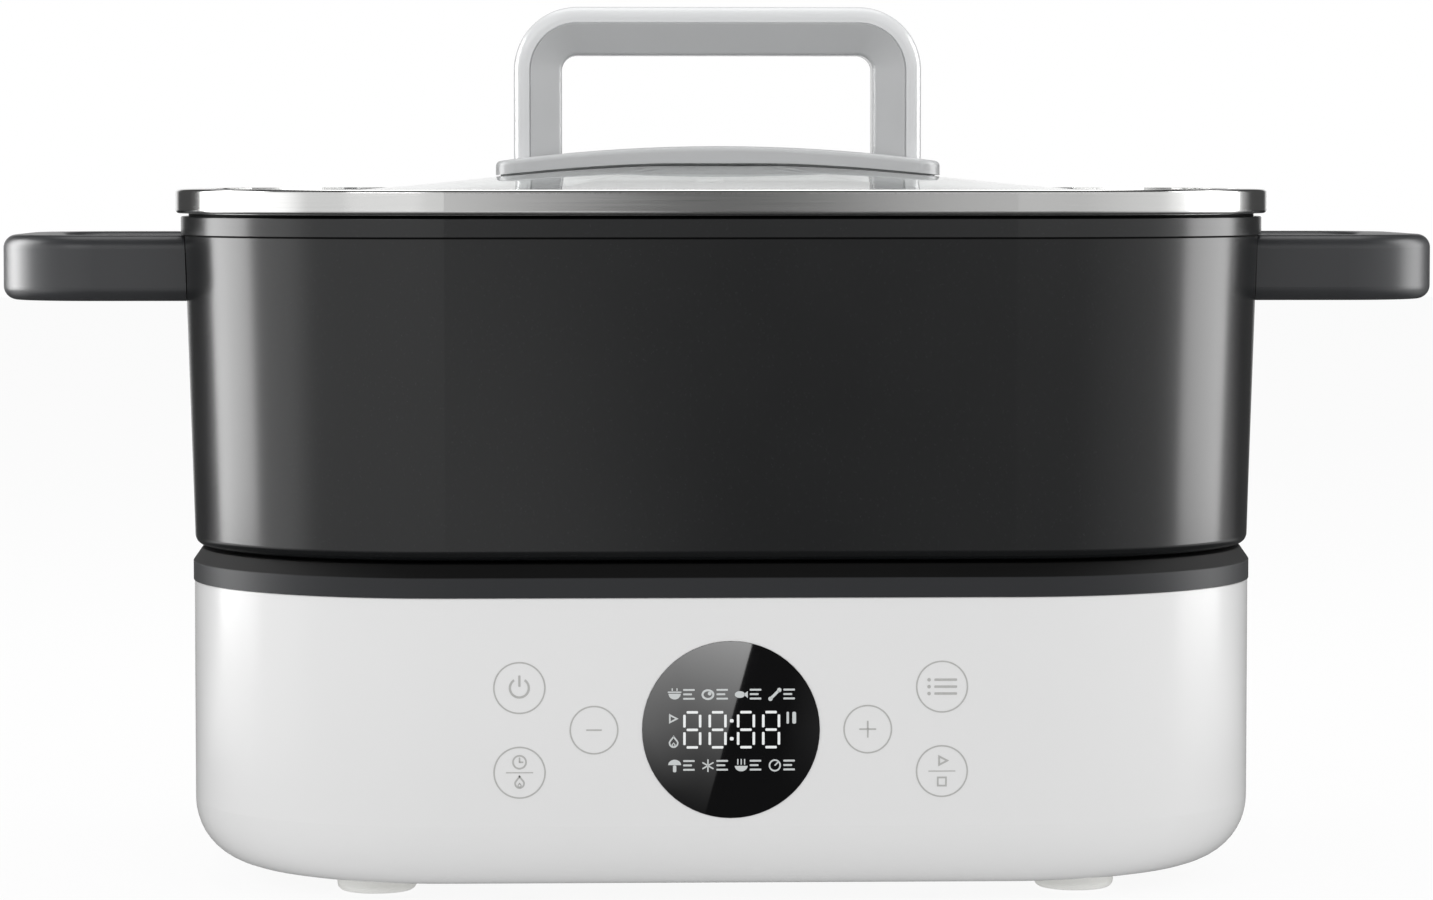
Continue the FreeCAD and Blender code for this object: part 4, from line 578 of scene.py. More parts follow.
# Ceramic non-stick coat sprayed on die-cast aluminium: charcoal, satin, with fine specks.
COATING = SprayedCoat("charcoal_nonstick_sprayed", "#101112", 0.2, grain_mm=0.9, grain_depth_mm=0.0015,
                      mottle=0.06, specular=0.51)
# Stainless steel brushed on a belt, along its edge: glints drawn out upright, over a dark hem of painted
# shade where the skirt shows in the gap above the pot's lip.
RIM = ToolMarked("stainless_brushed_with_painted_hem_shade", "#D5D5D4", 0.2, 1.0, grain_depth_mm=0.0006,
                 lay=Lay.ROUND_OUTLINE, contrast=0.08, stretch=0.95, shade_hem_below_mm=204.1,
                 edge_above_mm=210.95)
# Pressed stainless steel with the lines of its rolling: a cool, even sheen.
PRESSED_STEEL = ToolMarked("stainless_pressed", "#B4B4B2", 0.32, 1.0)
# Aluminised sheet as rolled: a duller grey with broader lines.
SHEET = ToolMarked("aluminised_sheet_rolled", "#B9BBBD", 0.38, 1.0, mark_mm=0.6)
# Cast aluminium turned on a lathe: fine rings that break its glints up.
TURNED = ToolMarked("aluminium_cast_turned", "#B7B8BA", 0.34, 1.0, grain_depth_mm=0.003, lay=Lay.ROUND_AXIS,
                    mark_mm=0.5, run_mm=90.0)
# Zinc plated on steel: small cool patches that make each screw glitter unevenly.
ZINC = Finish("steel_zinc_plated", "#B3B6BA", 0.3, 1.0, grain_mm=0.5, grain_depth_mm=0.001, mottle=0.08,
              mottle_mm=3.0)
# Drawn spring wire: smooth, and darker than the plated parts round it.
SPRING = Finish("spring_steel_drawn", "#9FA1A3", 0.25, 1.0, grain_mm=0.3, grain_depth_mm=0.001, mottle=0.06,
                mottle_mm=5.0)
# A nickel alloy sheath oxidised in a furnace: dull, green-grey and clouded.
SHEATH = Finish("incoloy_sheath_oxidised", "#6F746A", 0.45, 1.0, grain_mm=0.7, grain_depth_mm=0.002,
                mottle=0.15, mottle_mm=12.0)
# Brass stamped from strip: warm yellow with a soft shine.
BRASS = Finish("brass_stamped", "#C9A961", 0.3, 1.0, grain_mm=0.4, grain_depth_mm=0.001, mottle=0.06,
               mottle_mm=4.0)
# Unglazed fired ceramic: cream, matt and slightly rough.
STEATITE = Finish("steatite_fired", "#D9D2C2", 0.6, grain_mm=0.5, grain_depth_mm=0.01, mottle=0.05)
# Glass tempered on rollers: clear, with a wave that only bends what it mirrors.
GLASS = ClearGlass("soda_lime_glass_tempered", "#F4F9F7", 0.0, grain_mm=60.0)
# Moulded silicone: mid-grey and soft, with a broad, weak highlight.
SEAL = Finish("grey_silicone_moulded", "#7C7E80", 0.5, grain_mm=0.7)
# The same, paler: the gasket's edge reads as a light line.
GASKET = Finish("pale_silicone_moulded", "#B0B2B3", 0.5, grain_mm=0.7)
# A hairline of dull black under the pot's lip: a painted shadow line for the shade under the lip.
LIP_SHADOW = Finish("black_painted_lip_shadow", "#070707", 0.8, grain_mm=0.7, grain_depth_mm=0.002, specular=0.1)
# Moulded clear silicone, milky where it is thick.
BUSHING = Finish("clear_silicone_moulded", "#C9CBCB", 0.4, grain_mm=0.7, grain_depth_mm=0.003)
# Polished acrylic under a hard coat: deep black with sharp, weak reflections.
WINDOW = Finish("black_acrylic_polished", "#050506", 0.03, grain_mm=20.0, grain_depth_mm=0.0005, mottle=0.1,
                coat=1.0, coat_roughness=0.02, specular=0.25)
# Moulded rubber: a matt off-white with a faint tooth.
FOOT = Finish("pale_rubber_moulded", "#EDEDEA", 0.45, grain_mm=0.8, grain_depth_mm=0.01, mottle=0.03)
# Polypropylene from a textured tool: a dull pale grey.
COVER = Finish("pale_pp_moulded", "#C9C9C6", 0.5, grain_mm=0.8, grain_depth_mm=0.008, mottle=0.03)
# Moulded polycarbonate that spreads light: matt white.
LIGHT_BOX = Finish("white_pc_moulded", "#D9D9D5", 0.5)
# Foam cut from a sheet: open dark cells without a shine.
FOAM = Finish("conductive_foam_cut", "#3A3A3C", 0.9, grain_mm=0.5, grain_depth_mm=0.06, mottle=0.25,
              mottle_mm=1.0)
# Glass-filled nylon from a spark-eroded tool: satin black with a fine grain.
SOCKET = Finish("black_pa_moulded", "#161617", 0.42, grain_mm=0.7, grain_depth_mm=0.008, mottle=0.06)
# Moulded nylon left in its own colour: warm ivory, half matt.
PLUG_HOUSING = Finish("ivory_pa_moulded", "#E2DFD3", 0.45)
# Moulded epoxy: a dull black with faint clouds.
EPOXY = Finish("black_epoxy_moulded", "#1C1C1E", 0.5, grain_mm=0.5, grain_depth_mm=0.006, mottle=0.1)
# Moulded polyester: a clear blue with a broad, soft highlight.
RELAY_CASE = Finish("blue_pbt_moulded", "#2A5FA8", 0.35)
# Board sprayed with solder mask: green, with paler tracks that stand in relief.
BOARD = CircuitBoard("fr4_solder_masked", "#1F5A33", 0.35, grain_depth_mm=0.03)
# Polyester tape wound in turns: yellow with level ridges.
WINDING = Striped("polyester_tape_wound", "#D8B244", 0.4, grain_depth_mm=0.05, stripe_colour="#B48F2C",
                  pitch_mm=2.0, direction="Z")
# Ribbon extruded over its wires: grey ribs with darker grooves.
RIBBON = Striped("pvc_ribbon_extruded", "#B9BBBD", 0.45, grain_depth_mm=0.2, stripe_colour="#7F8285")
# Sleeving braided of glass yarn: matt rust red with slanting ribs.
SLEEVE = Striped("glass_braid_sleeving", "#C75A3C", 0.7, grain_depth_mm=0.1, stripe_colour="#8E3B25",
                 pitch_mm=1.2, direction="DIAGONAL")
# Extruded fluoroplastic: waxy grey with a soft shine.
SENSOR_JACKET = Finish("grey_ptfe_extruded", "#A9ABAD", 0.4, grain_depth_mm=0.003)
# Pad-printed grey ink: matt and slightly uneven.
INK = Finish("grey_ink_pad_printed", "#ABABA9", 0.55, grain_mm=0.3, grain_depth_mm=0.002, mottle=0.1,
             mottle_mm=1.0)
# Segments lit from behind through a mask: cool white with a faint dot grain.
DIGITS = Lit("segments_backlit", "#CCCECE", 0.5, grain_mm=0.4, strength=0.36)
# Smaller openings in the same mask: the same light, a step dimmer.
SIGNS = Lit("signs_backlit", "#A8ABAB", 0.5, grain_mm=0.4, strength=0.4)


@dataclass
class Wardrobe:
    """Keeps one material for each finish."""

    made: dict[str, bpy.types.Material] = field(default_factory=dict)

    def get(self, finish: Finish) -> bpy.types.Material:
        """Give a finish's material, built the first time it is asked for.

        Args:
            finish: The finish.

        Returns:
            Its one material.
        """
        if finish.name not in self.made:
            self.made[finish.name] = finish.material()
        return self.made[finish.name]

    def dress(self, finish: Finish, *nodes: str) -> None:
        """Put a finish on CAD nodes.

        Args:
            finish: The finish.
            nodes: The nodes' names.
        """
        for node in nodes:
            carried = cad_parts[node]
            material = self.get(finish)
            if not carried.material_slots:
                carried.data.materials.append(material)
            for holder in carried.material_slots:
                holder.material = material
            LOG.info("dressed %s in %s", node, finish.name)


# ---- Flat marks ------------------------------------------------------------------------------
class Stroke(Enum):
    """The strokes that signs are made of."""

    BAR = "bar"
    RING = "ring"
    DISC = "disc"
    BOWL = "half disc, round side down"
    CAP = "half disc, round side up"
    DROP = "ring pulled to a point at its top"


@dataclass(frozen=True)
class Mark:
    """One stroke of a sign, in millimetres from the sign's middle.

    width and height are its outer size, line is a ring's line width, sides is how many sides a ring or disc
    has, turn is degrees anticlockwise, and gap is the part of a ring left open at its top, in degrees.
    """

    stroke: Stroke
    x: float = 0.0
    z: float = 0.0
    width: float = 1.0
    height: float = 1.0
    line: float = 0.35
    sides: int = 32
    turn: float = 0.0
    gap: float = 0.0


class Sign(Enum):
    """Generic signs, each a tuple of marks."""

    MINUS = (Mark(Stroke.BAR, width=4.6, height=0.45),)
    PLUS = (Mark(Stroke.BAR, width=5.0, height=0.45), Mark(Stroke.BAR, width=0.45, height=5.0))
    POWER = (Mark(Stroke.RING, width=5.2, height=5.2, line=0.55, gap=70),
             Mark(Stroke.BAR, z=1.7, width=0.55, height=2.8))
    MENU = tuple(Mark(Stroke.BAR, 0.9, z, 5.6, 0.6) for z in (-1.7, 0.0, 1.7)) + tuple(
        Mark(Stroke.DISC, -3.2, z, 0.9, 0.9, sides=12) for z in (-1.7, 0.0, 1.7))
    CLOCK = (Mark(Stroke.RING, width=4.4, height=4.4, line=0.5),
             Mark(Stroke.BAR, z=0.65, width=0.45, height=1.6), Mark(Stroke.BAR, 0.5, 0.0, 1.3, 0.45))
    FLAME = (Mark(Stroke.DROP, width=3.2, height=3.4, line=0.5),
             Mark(Stroke.DROP, 0.0, -0.7, 1.3, 1.2, 0.3, 16))
    PLAY = (Mark(Stroke.RING, width=4.4, height=4.0, line=0.55, sides=3, turn=-90),)
    STOP = (Mark(Stroke.RING, width=4.2, height=4.2, line=0.5, sides=4, turn=45),)
    DIVIDER = (Mark(Stroke.BAR, width=8.0, height=0.3),)
    POT = (Mark(Stroke.BOWL, z=0.3, width=3.6, height=3.4), Mark(Stroke.BAR, z=0.75, width=4.0, height=0.4),
           Mark(Stroke.BAR, -0.7, 1.5, 0.35, 0.8), Mark(Stroke.BAR, 0.7, 1.5, 0.35, 0.8))
    STEAK = (Mark(Stroke.RING, width=3.8, height=3.2, line=0.6, sides=20),
             Mark(Stroke.DISC, 0.5, 0.3, 1.1, 1.1, sides=12))
    FISH = (Mark(Stroke.DISC, -0.4, 0.0, 3.0, 2.0, sides=20),
            Mark(Stroke.DISC, 1.5, 0.0, 1.7, 2.4, sides=3, turn=90))
    BONE = (Mark(Stroke.BAR, width=3.4, height=0.8, turn=45), Mark(Stroke.DISC, 1.3, 1.3, 1.3, 1.3, sides=12),
            Mark(Stroke.DISC, -1.3, -1.3, 1.3, 1.3, sides=12))
    MUSHROOM = (Mark(Stroke.CAP, z=0.2, width=3.8, height=3.2),
                Mark(Stroke.BAR, z=-0.9, width=1.0, height=2.0))
    SNOW = tuple(Mark(Stroke.BAR, width=0.4, height=3.8, turn=turn) for turn in (0, 60, 120))
    NOODLES = (Mark(Stroke.BOWL, z=-0.1, width=3.8, height=3.2),) + tuple(
        Mark(Stroke.BAR, x, 1.1, 0.35, 1.7) for x in (-1.0, 0.0, 1.0))
    DIAL = (Mark(Stroke.RING, width=3.6, height=3.6, line=0.45),
            Mark(Stroke.BAR, 0.5, 0.5, 0.4, 1.6, turn=-45))
    LINES = tuple(Mark(Stroke.BAR, x, z, width, 0.55) for x, z, width in (
        (0.0, 1.4, 3.4), (-0.4, 0.1, 2.6), (0.0, -1.2, 3.4)))


@dataclass
class Stencil:
    """Flat marks on a face that looks towards -Y, drawn in one mesh and then given their thickness.

    Lengths are in metres. A bar's corners are cut to corner_facets facets over corner_share of its short
    side. A mark with few_sides or less is turned before it is stretched and any other after it.
    point_narrowing and point_lift shape a drop's tip.
    """

    face_y: float
    thickness: float = 0.06 * MM
    corner_share: float = 0.3
    corner_facets: int = 2
    few_sides: int = 4
    point_narrowing: float = 0.75
    point_lift: float = 0.22
    piece: bpy.types.Object | None = None

    def begin(self) -> "Stencil":
        """Open an empty mesh for drawing.

        Returns:
            The stencil itself.
        """
        deselect_all()
        bpy.ops.object.add(type="MESH", location=(0, 0, 0))
        self.piece = bpy.context.object
        bpy.ops.object.mode_set(mode="EDIT")
        return self

    def put(self, sign: Sign, x: float, z: float, size: float = 1.0) -> None:
        """Draw a sign.

        Args:
            sign: The sign.
            x: Its middle, in metres.
            z: Its middle, in metres.
            size: How much larger than its own size it is drawn.
        """
        for mark in sign.value:
            self.draw(mark, x + mark.x * size * MM, z + mark.z * size * MM, size * MM)

    def draw(self, mark: Mark, x: float, z: float, unit: float) -> None:
        """Draw one stroke.

        Args:
            mark: The stroke.
            x: Its middle, in metres.
            z: Its middle, in metres.
            unit: Metres for each of its millimetres.
        """
        middle = (x, self.face_y, z)
        if mark.stroke is Stroke.BAR:
            bpy.ops.mesh.primitive_plane_add(size=1, location=middle, rotation=FACING_FRONT)
        else:
            bpy.ops.mesh.primitive_circle_add(vertices=mark.sides, radius=0.5, fill_type="NGON",
                                              location=middle, rotation=FACING_FRONT)
        if mark.turn and mark.sides <= self.few_sides:
            self.turn(mark.turn, middle)
        bpy.ops.transform.resize(value=(mark.width * unit, 1, mark.height * unit), center_override=middle)
        if mark.turn and mark.sides > self.few_sides:
            self.turn(mark.turn, middle)
        if mark.stroke is Stroke.BAR:
            short = min(mark.width, mark.height) * unit
            bpy.ops.mesh.bevel(affect="VERTICES", offset=short * self.corner_share,
                               segments=self.corner_facets)
        elif mark.stroke is Stroke.DROP:
            self.pull_top(middle, mark.height * unit)
            self.hollow(mark.line * unit)
        elif mark.stroke is Stroke.RING:
            self.hollow(mark.line * unit)
            self.open_gap(middle, mark.gap, mark.width * unit)
        elif mark.stroke is Stroke.BOWL:
            bpy.ops.mesh.bisect(plane_co=middle, plane_no=(0, 0, 1), clear_outer=True)
        elif mark.stroke is Stroke.CAP:
            bpy.ops.mesh.bisect(plane_co=middle, plane_no=(0, 0, 1), clear_inner=True)

    def turn(self, degrees: float, middle: Triple) -> None:
        """Turn what is selected about the Y axis through middle, anticlockwise as seen from the front."""
        bpy.ops.transform.rotate(value=math.radians(degrees), orient_axis="Y", center_override=middle)

    def hollow(self, line: float) -> None:
        """Leave only a line of that width round the selected face."""
        bpy.ops.mesh.inset(thickness=line, depth=0)
        bpy.ops.mesh.delete(type="FACE")

    def open_gap(self, middle: Triple, gap: float, reach: float) -> None:
        """Leave a ring open at its top.

        Args:
            middle: The ring's middle.
            gap: The opening, in degrees, or 0 for none.
            reach: A distance from the middle within which only the ring's faces lie.
        """
        if gap == 0:
            return
        bpy.ops.mesh.select_all(action="DESELECT")
        mesh = bmesh.from_edit_mesh(self.piece.data)
        for face in mesh.faces:
            away = face.calc_center_median() - Vector(middle)
            near = away.length < reach
            face.select_set(near and abs(math.degrees(math.atan2(away.x, away.z))) < gap / 2)
        bmesh.update_edit_mesh(self.piece.data)
        bpy.ops.mesh.delete(type="FACE")

    def pull_top(self, middle: Triple, height: float) -> None:
        """Draw the selected disc's upper half in to a point.

        Args:
            middle: The disc's middle.
            height: Its height before.
        """
        mesh = bmesh.from_edit_mesh(self.piece.data)
        for vertex in mesh.verts:
            if vertex.select and vertex.co.z > middle[2]:
                rise = (vertex.co.z - middle[2]) / (height / 2)
                vertex.co.x = middle[0] + (vertex.co.x - middle[0]) * (1 - self.point_narrowing * rise ** 2)
                vertex.co.z += rise ** 3 * height * self.point_lift
        bmesh.update_edit_mesh(self.piece.data)

    def finish(self) -> bpy.types.Object:
        """Turn every mark to the front and give it its thickness.

        Returns:
            The piece, closed, at the origin.
        """
        mesh = bmesh.from_edit_mesh(self.piece.data)
        mesh.normal_update()
        for face in mesh.faces:
            if face.normal.y > 0:
                face.normal_flip()
        bmesh.update_edit_mesh(self.piece.data)
        bpy.ops.object.mode_set(mode="OBJECT")
        body = self.piece.modifiers.new("body", "SOLIDIFY")
        body.thickness = self.thickness
        body.offset = 1.0
        bpy.ops.object.modifier_apply(modifier=body.name)
        return self.piece


# ---- Sub-assemblies --------------------------------------------------------------------------
@dataclass
class SubAssembly:
    """A group of the hot pot's pieces, and the CAD nodes that each finish goes on."""

    wardrobe: Wardrobe
    outfit: ClassVar[dict[Finish, tuple[str, ...]]] = {}

    def build(self) -> None:
        """Dress the group's CAD nodes."""
        for finish, nodes in self.outfit.items():
            self.wardrobe.dress(finish, *nodes)


@dataclass
class Housing(SubAssembly):
    """The white shell, the dark deck and what stands under them."""

    outfit = {
        SHELL: ("base_shell",),
        DECK: ("deck",),
        COVER: ("bottom_cover",),
        FOOT: ("feet",),
        ZINC: ("housing_screws",),
    }


@dataclass
class ControlPanel(SubAssembly):
    """The round display and the six touch keys, in millimetres from the window's middle.

    The trims are how many segment widths a segment is shorter than its side of the digit. play and flame
    are a place across, a place up and a size, and a pause bar is a place across and a width.
    """

    outfit = {WINDOW: ("display_window",)}
    key_x: float = 62.2
    key_z: float = 12.5
    key_diameter: float = 15.4
    step_key_x: float = 40.3
    step_key_diameter: float = 14.4
    key_line: float = 0.42
    ring_sides: int = 72
    whole_sign_size: float = 1.2
    half_sign_size: float = 0.98
    half_sign_rise: float = 3.1
    window_proud: float = 0.2
    light_depth: float = 0.04
    digit_places: tuple[float, ...] = (-11.4, -3.95, 4.4, 11.8)
    digit_width: float = 5.35
    digit_height: float = 11.1
    segment: float = 0.74
    level_trim: float = 2.7
    upright_trim: float = 2.4
    colon_x: float = 0.2
    colon_rise: float = 2.65
    colon_dot: Span = (1.1, 1.0)
    play: Triple = (-17.3, 3.3, 0.85)
    flame: Triple = (-16.9, -3.8, 0.9)
    pause_bars: tuple[Span, ...] = ((16.7, 0.7), (18.6, 1.1))
    pause_rise: float = 3.5
    pause_height: float = 3.5
    group_places: tuple[float, ...] = (-14.5, -4.7, 5.1, 15.0)
    group_rise: float = 10.4
    group_drop: float = -10.6
    group_icon_shift: float = 2.1
    middle_z: float = 0.0
    shell_y: float = 0.0
    window_y: float = 0.0

    def build(self) -> None:
        """Dress the window, find the panel's faces and draw the marks."""
        super().build()
        low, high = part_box("display_window")
        self.middle_z = (low.z + high.z) / 2
        self.window_y = low.y
        self.shell_y = self.window_y + self.window_proud * MM
        self.draw_keys()
        self.draw_digits()
        self.draw_signs()

    def draw_keys(self) -> None:
        """Print the six keys' rings and signs on the shell."""
        stencil = Stencil(self.shell_y).begin()
        columns = ((-1, 1, (Sign.POWER,)), (-1, -1, (Sign.CLOCK, Sign.FLAME)),
                   (1, 1, (Sign.MENU,)), (1, -1, (Sign.PLAY, Sign.STOP)))
        ring = Mark(Stroke.RING, width=self.key_diameter, height=self.key_diameter, line=self.key_line,
                    sides=self.ring_sides)
        for side, level, signs in columns:
            x = side * self.key_x * MM
            z = self.middle_z + level * self.key_z * MM
            stencil.draw(ring, x, z, MM)
            if len(signs) == 1:
                stencil.put(signs[0], x, z, self.whole_sign_size)
            else:
                stencil.put(Sign.DIVIDER, x, z)
                for sign, way in zip(signs, (1, -1)):
                    stencil.put(sign, x, z + way * self.half_sign_rise * MM, self.half_sign_size)
        ring = Mark(Stroke.RING, width=self.step_key_diameter, height=self.step_key_diameter,
                    line=self.key_line, sides=self.ring_sides)
        for side, sign in ((-1, Sign.MINUS), (1, Sign.PLUS)):
            stencil.draw(ring, side * self.step_key_x * MM, self.middle_z, MM)
            stencil.put(sign, side * self.step_key_x * MM, self.middle_z)
        settle(stencil.finish(), "key_prints", self.wardrobe.get(INK), "base")

    def draw_digits(self) -> None:
        """Draw the four seven-segment digits, all segments lit, and the colon."""
        stencil = Stencil(self.window_y, self.light_depth * MM).begin()
        level = Mark(Stroke.BAR, width=self.digit_width - self.level_trim * self.segment, height=self.segment)
        upright = Mark(Stroke.BAR, width=self.segment,
                       height=self.digit_height / 2 - self.upright_trim * self.segment)
        for x in self.digit_places:
            for row in (-1, 0, 1):
                z = row * (self.digit_height - self.segment) / 2
                stencil.draw(level, x * MM, self.middle_z + z * MM, MM)
            for side in (-1, 1):
                for row in (-1, 1):
                    across = x + side * (self.digit_width - self.segment) / 2
                    z = row * (self.digit_height - self.segment) / 4
                    stencil.draw(upright, across * MM, self.middle_z + z * MM, MM)
        dot = Mark(Stroke.BAR, width=self.colon_dot[0], height=self.colon_dot[1])
        for row in (-1, 1):
            stencil.draw(dot, self.colon_x * MM, self.middle_z + row * self.colon_rise * MM, MM)
        settle(stencil.finish(), "display_digits", self.wardrobe.get(DIGITS), "base")

    def draw_signs(self) -> None:
        """Draw the play, flame and pause signs and the two rows of dish signs."""
        stencil = Stencil(self.window_y, self.light_depth * MM).begin()
        for sign, (x, z, size) in ((Sign.PLAY, self.play), (Sign.FLAME, self.flame)):
            stencil.put(sign, x * MM, self.middle_z + z * MM, size)
        for x, width in self.pause_bars:
            bar = Mark(Stroke.BAR, width=width, height=self.pause_height)
            stencil.draw(bar, x * MM, self.middle_z + self.pause_rise * MM, MM)
        rows = ((self.group_rise, (Sign.POT, Sign.STEAK, Sign.FISH, Sign.BONE)),
                (self.group_drop, (Sign.MUSHROOM, Sign.SNOW, Sign.NOODLES, Sign.DIAL)))
        for rise, signs in rows:
            for x, sign in zip(self.group_places, signs):
                stencil.put(sign, (x - self.group_icon_shift) * MM, self.middle_z + rise * MM)
                stencil.put(Sign.LINES, (x + self.group_icon_shift) * MM, self.middle_z + rise * MM)
        settle(stencil.finish(), "display_signs", self.wardrobe.get(SIGNS), "base")


@dataclass
class Heater(SubAssembly):
    """The heating plate, its tube, the shield and the sprung sensor."""

    outfit = {
        TURNED: ("heating_plate", "sensor_cap"),
        SHEATH: ("heating_tube",),
        BRASS: ("heater_terminals", "earth_stud"),
        SHEET: ("heat_shield",),
        ZINC: ("shield_screws", "sensor_clip"),
        STEATITE: ("thermal_cutout", "thermistor"),
        PRESSED_STEEL: ("sensor_guide",),
        SPRING: ("sensor_spring",),
    }


@dataclass
class Pot(SubAssembly):
    """The coated pot with its handles. Lengths are in millimetres."""

    outfit = {
        COATING: ("pot_body",),
        BAKELITE: ("handle_right", "handle_left"),
        ZINC: ("handle_screws",),
    }
    half_width: float = 165.5
    half_depth: float = 130.7
    corner_radius: float = 81.7
    line_top: float = 197.66
    line_height: float = 0.55
    line_depth: float = 0.3
    corner_steps: int = 28

    def build(self) -> None:
        """Dress the pot and draw a painted shadow line under its lip."""
        super().build()
        self.draw_lip_shadow_line()

    def draw_lip_shadow_line(self) -> None:
        """Lay a fine black band round the pot, close under its lip, as a painted shadow line."""
        deselect_all()
        height = self.line_top * MM
        # It is made two metres across, so its half sizes are the factors that it is scaled by.
        bpy.ops.mesh.primitive_plane_add(size=2, location=(0, 0, 0))
        shadow_line = bpy.context.object
        bpy.ops.object.mode_set(mode="EDIT")
        bpy.ops.mesh.select_all(action="SELECT")
        bpy.ops.transform.resize(value=(self.half_width * MM, self.half_depth * MM, 1))
        bpy.ops.transform.translate(value=(0, 0, height))
        bpy.ops.mesh.bevel(affect="VERTICES", offset=self.corner_radius * MM, segments=self.corner_steps)
        bpy.ops.mesh.inset(thickness=self.line_depth * MM, depth=0)
        bpy.ops.mesh.delete(type="FACE")
        bpy.ops.mesh.select_all(action="SELECT")
        bpy.ops.mesh.extrude_region_move(TRANSFORM_OT_translate={"value": (0, 0, -self.line_height * MM)})
        bpy.ops.mesh.select_all(action="SELECT")
        bpy.ops.mesh.normals_make_consistent(inside=False)
        bpy.ops.object.mode_set(mode="OBJECT")
        settle(shadow_line, "lip_shadow_line", self.wardrobe.get(LIP_SHADOW), "pot")


@dataclass
class Lid(SubAssembly):
    """The glass lid with its steel rim and arch handle."""

    outfit = {
        RIM: ("lid_rim",),
        GLASS: ("lid_glass",),
        SEAL: ("rim_seal",),
        GASKET: ("saddle_gasket",),
        BUSHING: ("lid_bushes",),
        PRESSED_STEEL: ("steam_vent", "lid_washers"),
        ZINC: ("lid_screws",),
        GRIP: ("handle_saddle",),
        ARCH: ("lid_handle",),
    }


@dataclass
class Electronics(SubAssembly):
    """The boards, the mains inlet and the leads inside the housing."""

    outfit = {
        BOARD: ("power_board", "display_board"),
        LIGHT_BOX: ("display_module",),
        FOAM: ("touch_posts",),
        ZINC: ("display_screws", "board_screws", "inlet_screws"),
        SOCKET: ("inlet_socket",),
        BRASS: ("inlet_pins", "board_tabs"),
        WINDING: ("transformer",),
        RELAY_CASE: ("relay",),
        EPOXY: ("capacitors", "buzzer"),
        PLUG_HOUSING: ("board_sockets",),
        SLEEVE: ("mains_leads", "heater_leads"),
        SENSOR_JACKET: ("sensor_lead",),
        RIBBON: ("ribbon_cable",),
    }


# ---- Studio ----------------------------------------------------------------------------------
class Reach(Enum):
    """What a lamp is for."""

    ALL = "light and glints"
    GLINTS = "glints alone"
    LIGHT = "light alone"


@dataclass(frozen=True)
class Softbox:
    """A rectangular soft lamp that faces a point. Given some nodes' names, it lights only those."""

    name: str
    place: Triple
    target: Triple
    width: float
    height: float
    watts: float
    reach: Reach = Reach.ALL
    only: tuple[str, ...] = ()

    def build(self) -> bpy.types.Object:
        """Set up the lamp.

        Returns:
            The lamp.
        """
        deselect_all()
        bpy.ops.object.light_add(type="AREA", location=self.place)
        lamp = bpy.context.object
        lamp.name = self.name
        lamp.data.shape = "RECTANGLE"
        lamp.data.size = self.width
        lamp.data.size_y = self.height
        lamp.data.energy = self.watts
        lamp.visible_camera = False
        lamp.visible_diffuse = self.reach is not Reach.GLINTS
        lamp.visible_glossy = self.reach is not Reach.LIGHT
        look = Vector(self.target) - Vector(self.place)
        lamp.rotation_euler = look.to_track_quat("-Z", "Y").to_euler()
        if self.only:
            lit = bpy.data.collections.new(f"{self.name}_lit")
            for node in self.only:
                lit.objects.link(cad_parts[node])
            lamp.light_linking.receiver_collection = lit
        LOG.info("set up lamp %s: %g W", self.name, self.watts)
        return lamp


@dataclass(frozen=True)
class LeaningStrip(Softbox):
    """A strip lamp that leans lean degrees to one side and fades towards its foot by a power."""

    lean: float = 0.0
    fade: float = 2.0

    def build(self) -> bpy.types.Object:
        """Set up the strip.

        Returns:
            The lamp.
        """
        lamp = super().build()
        lamp.rotation_euler = (math.radians(90), math.radians(self.lean), 0.0)
        lamp.data.use_nodes = True
        tree = lamp.data.node_tree
        tree.nodes.clear()
        spot = add_node(tree, "ShaderNodeSeparateXYZ", {}, {
            0: add_node(tree, "ShaderNodeNewGeometry").outputs["Parametric"]})
        fade = add_node(tree, "ShaderNodeMath", {"operation": "POWER", 1: self.fade}, {0: spot.outputs["Y"]})
        glow = add_node(tree, "ShaderNodeEmission", {}, {"Strength": fade.outputs[0]})
        add_node(tree, "ShaderNodeOutputLight", {}, {"Surface": glow.outputs[0]})
        return lamp


@dataclass(frozen=True)
class Slot:
    """A dark slot in what mirrors see, by direction: its middle, and where it starts to fade and where
    it has ended at either side, from the middle. At the right it can end in a shoulder, a share of the
    walls' level, and climb on from there."""

    middle: float
    left: Span
    right: Span
    shoulder: float = 1.0
    climb: Span = (0.5, 0.9)


